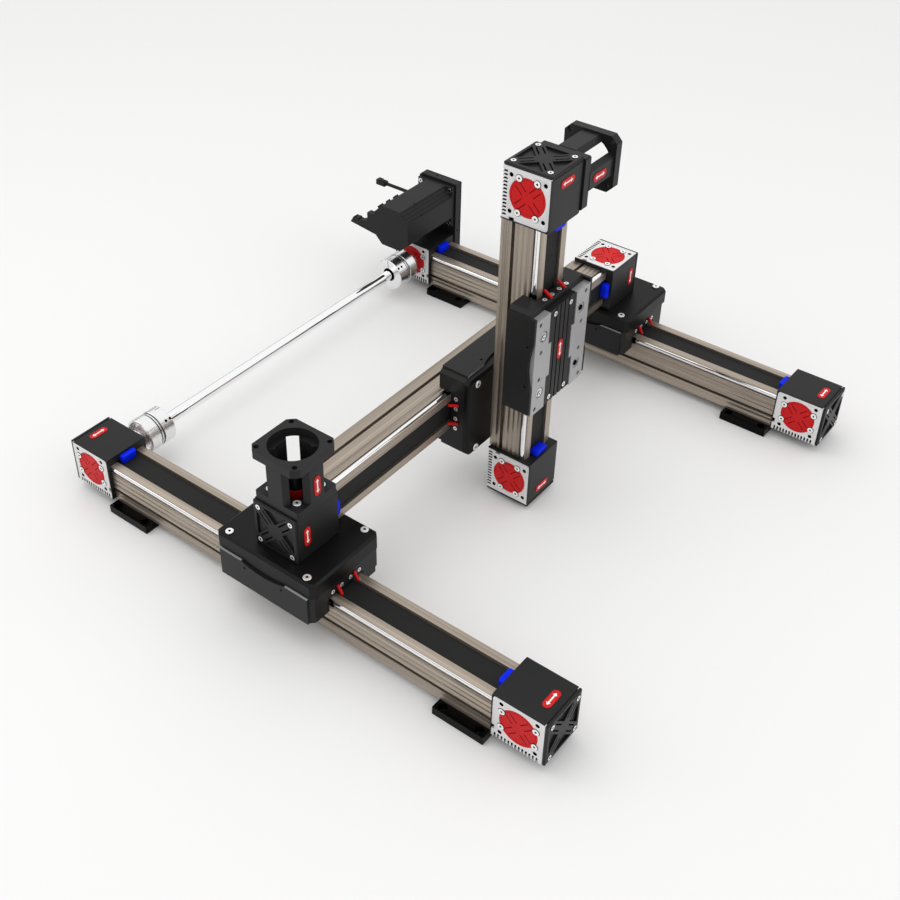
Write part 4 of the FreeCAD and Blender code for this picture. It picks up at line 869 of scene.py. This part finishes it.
def dress_tool_face():
    """Cover screws, badge and eccentric studs on the tool face."""
    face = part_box("z_mounting_strips")[1].x
    low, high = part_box("z_centre_cover")
    middle = (low + high) / 2
    from_end, screw_side, stud_side, stud_along, badge_up = 0.0068, 0.0144, 0.035, 0.0356, 0.0015
    screws = [shift(high.x, middle.y + y, z) @ INWARD
              for z in (low.z + from_end, high.z - from_end) for y in (-screw_side, screw_side)]
    copies("tool_face_screws", cap_screw, screws, "z_head")
    mark = shift(high.x, middle.y, middle.z + badge_up) @ INWARD
    copies("tool_face_badge", badge, [mark], "z_head")
    stud = lathe("stud", [(0, 0), (0.0063, 0), (0.0063, 0.0007), (0.0059, 0.0007), (0.0059, 0.0003),
                          (0.0054, 0.0003), (0.0054, 0.0007), (0, 0.0007)], 48, HAIR)
    paint(facet(stud), turned, dark)
    # The stud's ring groove gets painted shade
    paint_where(stud, 1, lambda centre, _: 0.0053 < radius_of(centre) < 0.0060)
    join(stud, moved(make_flat_screw(0.0034, 0.0013), shift(0.0013, 0, 0.0007)))
    plug = lathe("seat_shadow", [(0, 0), (0.0031, 0), (0.0031, 0.0006), (0, 0.0006)], 32, HAIR)
    paint(plug, dark)
    heights = (middle.z - stud_along, middle.z + stud_along)
    studs = [shift(face - 0.0012, middle.y - stud_side, z) @ INWARD for z in heights]
    shadows = [shift(face - 0.0006, middle.y + stud_side, z) @ INWARD for z in heights]
    copies("eccentric_studs", stud, studs, "z_head")
    copies("seat_shadows", plug, shadows, "z_head")
    retire(stud, plug)


dress_tool_face()


# Rods, cross shaft and couplings

def make_round_bar(radius, length, sides=56):
    return paint(soft_edges(cylinder(radius, length, sides=sides), 0.0006), chrome)


def lay_rods(node, modules, body):
    """Ground rods in the seats of a module's profile."""
    length = modules[0].length - 2 * HOUSING_LENGTH
    source = make_round_bar(ROD_RADIUS, length)
    places = [module.at(0, v, ROD_HEIGHT) @ INWARD for module in modules for v in (-ROD_SIDE, ROD_SIDE)]
    copies(node + "_ground", source, places, body, node)
    retire(source)


lay_rods("rail_guide_rods", (near_rail, far_rail), "base")
lay_rods("beam_guide_rods", (beam,), "gantry")
lay_rods("z_guide_rods", (upright,), "x_head")


def make_coupling():
    """Disc coupling from the block outwards: cup, disc pack and a clamp ring with a slit."""
    cup = lathe("coupling", [(SHAFT_GAP, 0.0005), (0.0120, 0.0005), (0.0120, 0.0220), (0.0190, 0.0220),
                             (0.0190, 0.0165), (0.0220, 0.0165), (0.0220, 0.0315), (0.0185, 0.0315),
                             (SHAFT_GAP, 0.0315)], 96, 0.0005)
    pack = lathe("discs", [(SHAFT_GAP, 0.0313), (0.0178, 0.0313), (0.0178, 0.0329), (0.0213, 0.0329),
                           (0.0213, 0.0351), (0.0178, 0.0351), (0.0178, 0.0367), (SHAFT_GAP, 0.0367)],
                 96, 0.0001)
    ring = lathe("ring", [(0.0071, 0.0365), (0.0220, 0.0365), (0.0220, 0.0530), (0.0095, 0.0530),
                          (0.0095, 0.0520), (0.0071, 0.0520)], 96, 0.0005)
    carve(ring, moved(cube((0.0300, 0.0009, 0.0100), (0.0165, 0, 0.0497)), spin(95, "Z")))
    for angle, height in ((43, 0.0445), (43, 0.0508), (223, 0.0445)):
        screw_hole = cylinder(0.0018, 0.010, sides=24)
        carve(ring, moved(screw_hole, spin(angle, "Z") @ shift(0.0220, 0, height) @ INWARD))
    for piece, finish in ((cup, polished), (pack, turned), (ring, polished)):
        paint(smooth(piece, 30), finish, dark)
    # The disc pack's narrow hubs, and the ring's bore, slit and clamp-hole walls, get painted shade
    paint_where(pack, 1, lambda centre, _: radius_of(centre) < 0.0181)
    paint_where(ring, 1, lambda centre, _: radius_of(centre) < 0.0218 and 0.0368 < centre.z < 0.0527)
    return join(cup, pack, ring)


def lay_drive_line():
    """Cross shaft with its two couplings, whose sections start a little off the block's face."""
    axis = middle_of("cross_shaft")
    low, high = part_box("cross_shaft")
    source = make_round_bar((high.z - low.z) / 2, high.y - low.y, 72)
    copies("cross_shaft_ground", source, [shift(*axis) @ SIDE_UP[1]], "drive_line",
           "cross_shaft")
    near_end, far_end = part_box("shaft_couplings")
    coupling = make_coupling()
    off_face = 0.0005
    mirror = Matrix.Scale(-1, 4, (0, 1, 0))
    from_near = shift(axis.x, near_end.y - off_face, axis.z) @ SIDE_UP[1] @ mirror
    from_far = shift(axis.x, far_end.y + off_face, axis.z) @ SIDE_UP[-1]
    copies("disc_couplings", coupling, [from_near, from_far], "drive_line",
           "shaft_couplings")
    retire(source, coupling)


lay_drive_line()


def make_motor_coupling(node, place, body):
    """Jaw coupling in a bell: a thin red spider under a black clamp hub with a slit and a screw hole."""
    bore, rim = 0.0060, 0.0110
    spider = lathe("spider", [(bore, 0.0), (rim, 0.0), (rim, 0.0022), (bore, 0.0022)], 48, 0.0003)
    hub = lathe("hub", [(bore, 0.0020), (rim, 0.0020), (rim, 0.0080), (0.0095, 0.0080), (0.0095, 0.0090),
                        (rim, 0.0090), (rim, 0.0220), (bore, 0.0220)], 48, 0.0004)
    carve(hub, cube((0.0140, 0.0010, 0.0110), (0.0095, 0, 0.0185)))
    carve(hub, moved(cylinder(0.0017, 0.008, sides=20), shift(0.0070, rim, 0.0160) @ spin(90, "X")))
    paint(smooth(spider, 30), red)
    paint(smooth(hub, 30), deep_black)
    copies(node + "_jaws", join(spider, hub), [place], body, node)
    retire(spider)


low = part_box("beam_motor_coupling")[0]
place = shift(beam_bell_axis.x, beam_bell_axis.y, low.z) @ spin(-40, "Z")
make_motor_coupling("beam_motor_coupling", place, "beam_drive")
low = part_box("z_motor_coupling")[0]
place = shift(z_bell_axis.x, low.y, z_bell_axis.z) @ SIDE_UP[1]
make_motor_coupling("z_motor_coupling", place, "z_drive")

# Screws that hold the bells to their blocks, in the open corners of the bells' bases
bell_corners = corners(BELL_SCREW_SIDE, BELL_SCREW_SIDE)
spots = [shift(beam_bell_axis.x + a, beam_bell_axis.y + b, bell_low.z + BELL_BASE_THICK)
         for a, b in bell_corners]
copies("beam_bell_screws", adapter_screw, spots, "gantry")
spots = [shift(z_bell_axis.x + a, z_bell_low.y + BELL_BASE_THICK, z_bell_axis.z + b) @ SIDE_UP[1]
         for a, b in bell_corners]
copies("z_bell_screws", adapter_screw, spots, "x_head")


# Servo, belt box and lead

def dress_servo():
    """Servo body with grooves along its upper bevel, its connector's tip, lugs and flange screws."""
    piece = node_copy("servo_motor")
    low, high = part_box("servo_motor")
    axis = Vector((middle_of("cross_shaft").x, 0, middle_of("servo_timing_pulley").z))
    half, bevel, rear, flange = 0.030, 0.014, low.y, high.y - 0.006

    def on_bevel(share, y=0):
        """Place on the upper bevel, at a share of the way down from its upper edge."""
        return shift(axis.x + half - bevel * (1 - share), y, axis.z + half - bevel * share) @ spin(45, "Y")

    groove, past = 0.0013, 0.002
    tools = [moved(cube((groove, flange - rear + past, groove), (0, (flange + rear - past) / 2, 0)),
                   on_bevel(share)) for share in (0.12, 0.38, 0.64, 0.90)]
    carve(piece, *tools)

    # The connector's tip is slanted and has two steps in its top
    tip, tip_low, tip_high, tip_start, tip_width = low.x, 0.0985, 0.1092, 0.2150, 0.014
    step_middle, step_top = 0.2225, 0.1110
    end_cut = bar("end_cut", [(tip - past, tip_low), (tip + 0.0002, tip_low), (tip + 0.0066, tip_high),
                              (tip - past, tip_high)], tip_width)
    carve(piece, clean_mesh(moved(end_cut, shift(y=tip_start) @ PLATE_FLIP)))
    for start, stop, depth in ((0.0085, 0.0100, 0.0012), (0.0155, 0.0225, 0.0016)):
        middle = (tip + (start + stop) / 2, step_middle, step_top - depth)
        carve(piece, cube((stop - start, tip_width, 0.004), middle))
    paint(piece, cast_black)
    stand_in_for("servo_motor", soft_edges(clean_mesh(piece, flat_angle=1), 0.0004))

    # Small lugs on the grooved bevel, and three longer ones on the other side
    small = [moved(soft_edges(cube((0.0028, 0.0026, 0.0016)), 0.0004), on_bevel(share, y))
             for share, y in ((0.0, 0.2506), (0.92, 0.2513))]
    share, sunk = 0.35, 0.0012
    for start, stop in ((0.2245, 0.2330), (0.2420, 0.2480), (0.2575, 0.2655)):
        lug = soft_edges(cube((0.0050, stop - start, 0.0030)), 0.0006)
        spot = shift(axis.x - half + bevel * share - sunk, (start + stop) / 2,
                     axis.z + half - bevel * (1 - share) + sunk)
        small.append(moved(lug, spot @ spin(-45, "Y")))
    lugs = paint(join(*small), cast_black)
    lugs.name = "servo_lugs"
    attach(lugs, "base")
    spots = [shift(axis.x + a, flange, axis.z + b) @ SIDE_UP[-1]
             for a, b in corners(FLANGE_SCREW_SIDE, FLANGE_SCREW_SIDE)]
    flange_screw = repaint(make_flat_screw(0.0040, 0.0017), 0, turned)
    copies("servo_flange_screws", flange_screw, spots, "base")
    retire(flange_screw)


dress_servo()


def dress_plug():
    """Lead's plug: a square shell, a stepped latch on top, and a collar where the lead enters."""
    low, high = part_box("servo_plug")
    mid = (low + high) / 2
    size = high - low
    front, back = size.x * 0.38, size.x * 0.90
    shell = soft_edges(cube((front + 0.001, size.y, size.z),
                            (low.x + front / 2 + 0.0005, mid.y, mid.z)), 0.0007, 2)
    body = soft_edges(cube((back - front, size.y * 0.96, size.z * 0.88),
                           (low.x + (front + back) / 2, mid.y, low.z + size.z * 0.44)), 0.0006, 2)
    latch = soft_edges(cube((size.x * 0.42, size.y * 0.5, size.z * 0.20),
                            (low.x + size.x * 0.58, mid.y, high.z - size.z * 0.10)), 0.0004)
    collar = soft_edges(cube((size.x * 0.14, size.y * 0.72, size.z * 0.70),
                             (high.x - size.x * 0.07, mid.y, mid.z)), 0.0005)
    carve(shell, cube((0.004, size.y * 0.7, size.z * 0.6), (low.x, mid.y, mid.z)))
    join(shell, body, latch, collar)
    shell.name = "lead_plug"
    paint(smooth(shell), cable_jacket)
    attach(shell, "base")
    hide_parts("servo_plug")
    return shell


def make_lead(plug):
    low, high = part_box("servo_cable")
    y, z = (low.y + high.y) / 2, (low.z + high.z) / 2
    route = [(high.x, y, z), (high.x - 0.012, y, z), (high.x - 0.032, y, z), (low.x, y, z)]
    curve = bpy.data.curves.new("servo_lead", "CURVE")
    curve.dimensions = "3D"
    spline = curve.splines.new("NURBS")
    spline.points.add(len(route) - 1)
    for point, spot in zip(spline.points, route):
        point.co = (*spot, 1)
    spline.order_u = 3
    spline.use_endpoint_u = True
    curve.bevel_depth = 0.0025
    curve.bevel_resolution = 6
    curve.use_fill_caps = True
    piece = paint(new_object("servo_lead", curve), cable_jacket)
    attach(piece, "base")
    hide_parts("servo_cable")
    grommet = lathe("lead_grommet", [(0.0026, -0.001), (0.0052, -0.001), (0.0050, 0.0015),
                                     (0.0034, 0.0090), (0.0026, 0.0090)], 32, 0.0004)
    copies("servo_lead_grommet", paint(grommet, cable_jacket), [shift(high.x, y, z) @ OUTWARD], "base")
    retire(grommet)


make_lead(dress_plug())

# Grub screws in the belt box's rim, and the screws of its lid
box_low, box_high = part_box("pulley_box")
rim_screw = repaint(make_flat_screw(0.0017, 0.0009), 0, dark)
sunk, side_grub_y, side_grub_z = 0.0004, box_high.y - 0.0050, 0.0735
spots = [shift(box_high.x - 0.038, box_high.y - 0.0045, box_high.z - sunk),
         shift(box_high.x - sunk, side_grub_y, side_grub_z) @ INWARD,
         shift(box_low.x + sunk, side_grub_y, side_grub_z) @ OUTWARD]
copies("belt_box_grub_screws", rim_screw, spots, "base")
lid_low, lid_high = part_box("pulley_box_lid")
rim, top_rim = 0.005, 0.007
spots = [shift(x, lid_high.y - SCREW_PROUD, z) @ SIDE_UP[1]
         for x in (lid_low.x + rim, lid_high.x - rim)
         for z in (lid_low.z + rim, (lid_low.z + lid_high.z) / 2, lid_high.z - top_rim)]
copies("belt_box_lid_screws", small_screw, spots, "base")

retire(side_plate, cover, bored_cover, cap, bumper, badge, block_screw, cap_screw, small_screw,
       adapter_screw, rod_wiper, rim_screw)


# Floor, light and camera

def make_floor():
    bpy.ops.mesh.primitive_plane_add(size=12, location=(0, 0, 0))
    floor = bpy.context.object
    floor.name = "studio_floor"
    material = bpy.data.materials.new("studio_white")
    material.use_nodes = True
    shader = material.node_tree.nodes["Principled BSDF"]
    shader.inputs["Base Color"].default_value = (0.80, 0.798, 0.795, 1)
    shader.inputs["Roughness"].default_value = 0.6
    floor.data.materials.append(material)


def make_world():
    """Studio walls: white overhead, with a dark band near the horizon that the round metal parts show.

    The camera itself sees a plain pale wall."""
    world = bpy.data.worlds.new("studio")
    bpy.context.scene.world = world
    world.use_nodes = True
    tree = world.node_tree
    place = add(tree, "ShaderNodeTexCoord")
    split = add(tree, "ShaderNodeSeparateXYZ")
    tree.links.new(place.outputs["Generated"], split.inputs[0])
    ramp = add(tree, "ShaderNodeValToRGB")
    for stop, height, grey in zip(ramp.color_ramp.elements, (0.05, 0.30), (0.10, 1.0)):
        stop.position = height
        stop.color = (grey, grey, grey, 1)
    tree.links.new(split.outputs["Z"], ramp.inputs["Fac"])
    seen = add(tree, "ShaderNodeLightPath")
    backdrop = add(tree, "ShaderNodeMix", data_type="RGBA")
    color_a, color_b, mixed = backdrop.inputs[6], backdrop.inputs[7], backdrop.outputs[2]
    tree.links.new(seen.outputs["Is Camera Ray"], backdrop.inputs["Factor"])
    tree.links.new(ramp.outputs["Color"], color_a)
    color_b.default_value = (0.84, 0.84, 0.84, 1)
    background = tree.nodes["Background"]
    tree.links.new(mixed, background.inputs["Color"])
    background.inputs["Strength"].default_value = 1.04


def area_light(name, location, target, size, energy):
    data = bpy.data.lights.new(name, "AREA")
    data.shape = "RECTANGLE"
    data.size = size[0]
    data.size_y = size[1]
    data.energy = energy
    lamp = new_object(name, data)
    lamp.location = location
    lamp.rotation_euler = (Vector(target) - Vector(location)).to_track_quat("-Z", "Y").to_euler()


def make_camera():
    """Camera solved from the photograph's straight edges; the photograph is a shifted crop."""
    photo_width, focal_length, tilt, turn = 900, 1266.28, 37.76, 38.53
    data = bpy.data.cameras.new("photo_camera")
    data.sensor_width = 36
    data.lens = focal_length / photo_width * data.sensor_width
    data.shift_x = 0.0504
    data.shift_y = -0.0424
    data.clip_start = 0.01
    camera = new_object("photo_camera", data)
    camera.location = (0.6699, -0.9613, 0.9756)
    camera.rotation_euler = (radians(90 - tilt), 0, radians(turn))
    bpy.context.scene.camera = camera


make_floor()
make_world()
area_light("key_overhead", (-0.3, -0.5, 1.9), (0, 0, 0.1), (1.6, 1.6), 7)
area_light("fill_left", (-1.6, -1.2, 1.0), (0, 0, 0.1), (1.2, 1.2), 3)
area_light("rim_right", (1.7, 0.6, 1.0), (0, 0, 0.15), (1.0, 1.4), 4)
make_camera()
bpy.context.scene.view_settings.view_transform = "Standard"
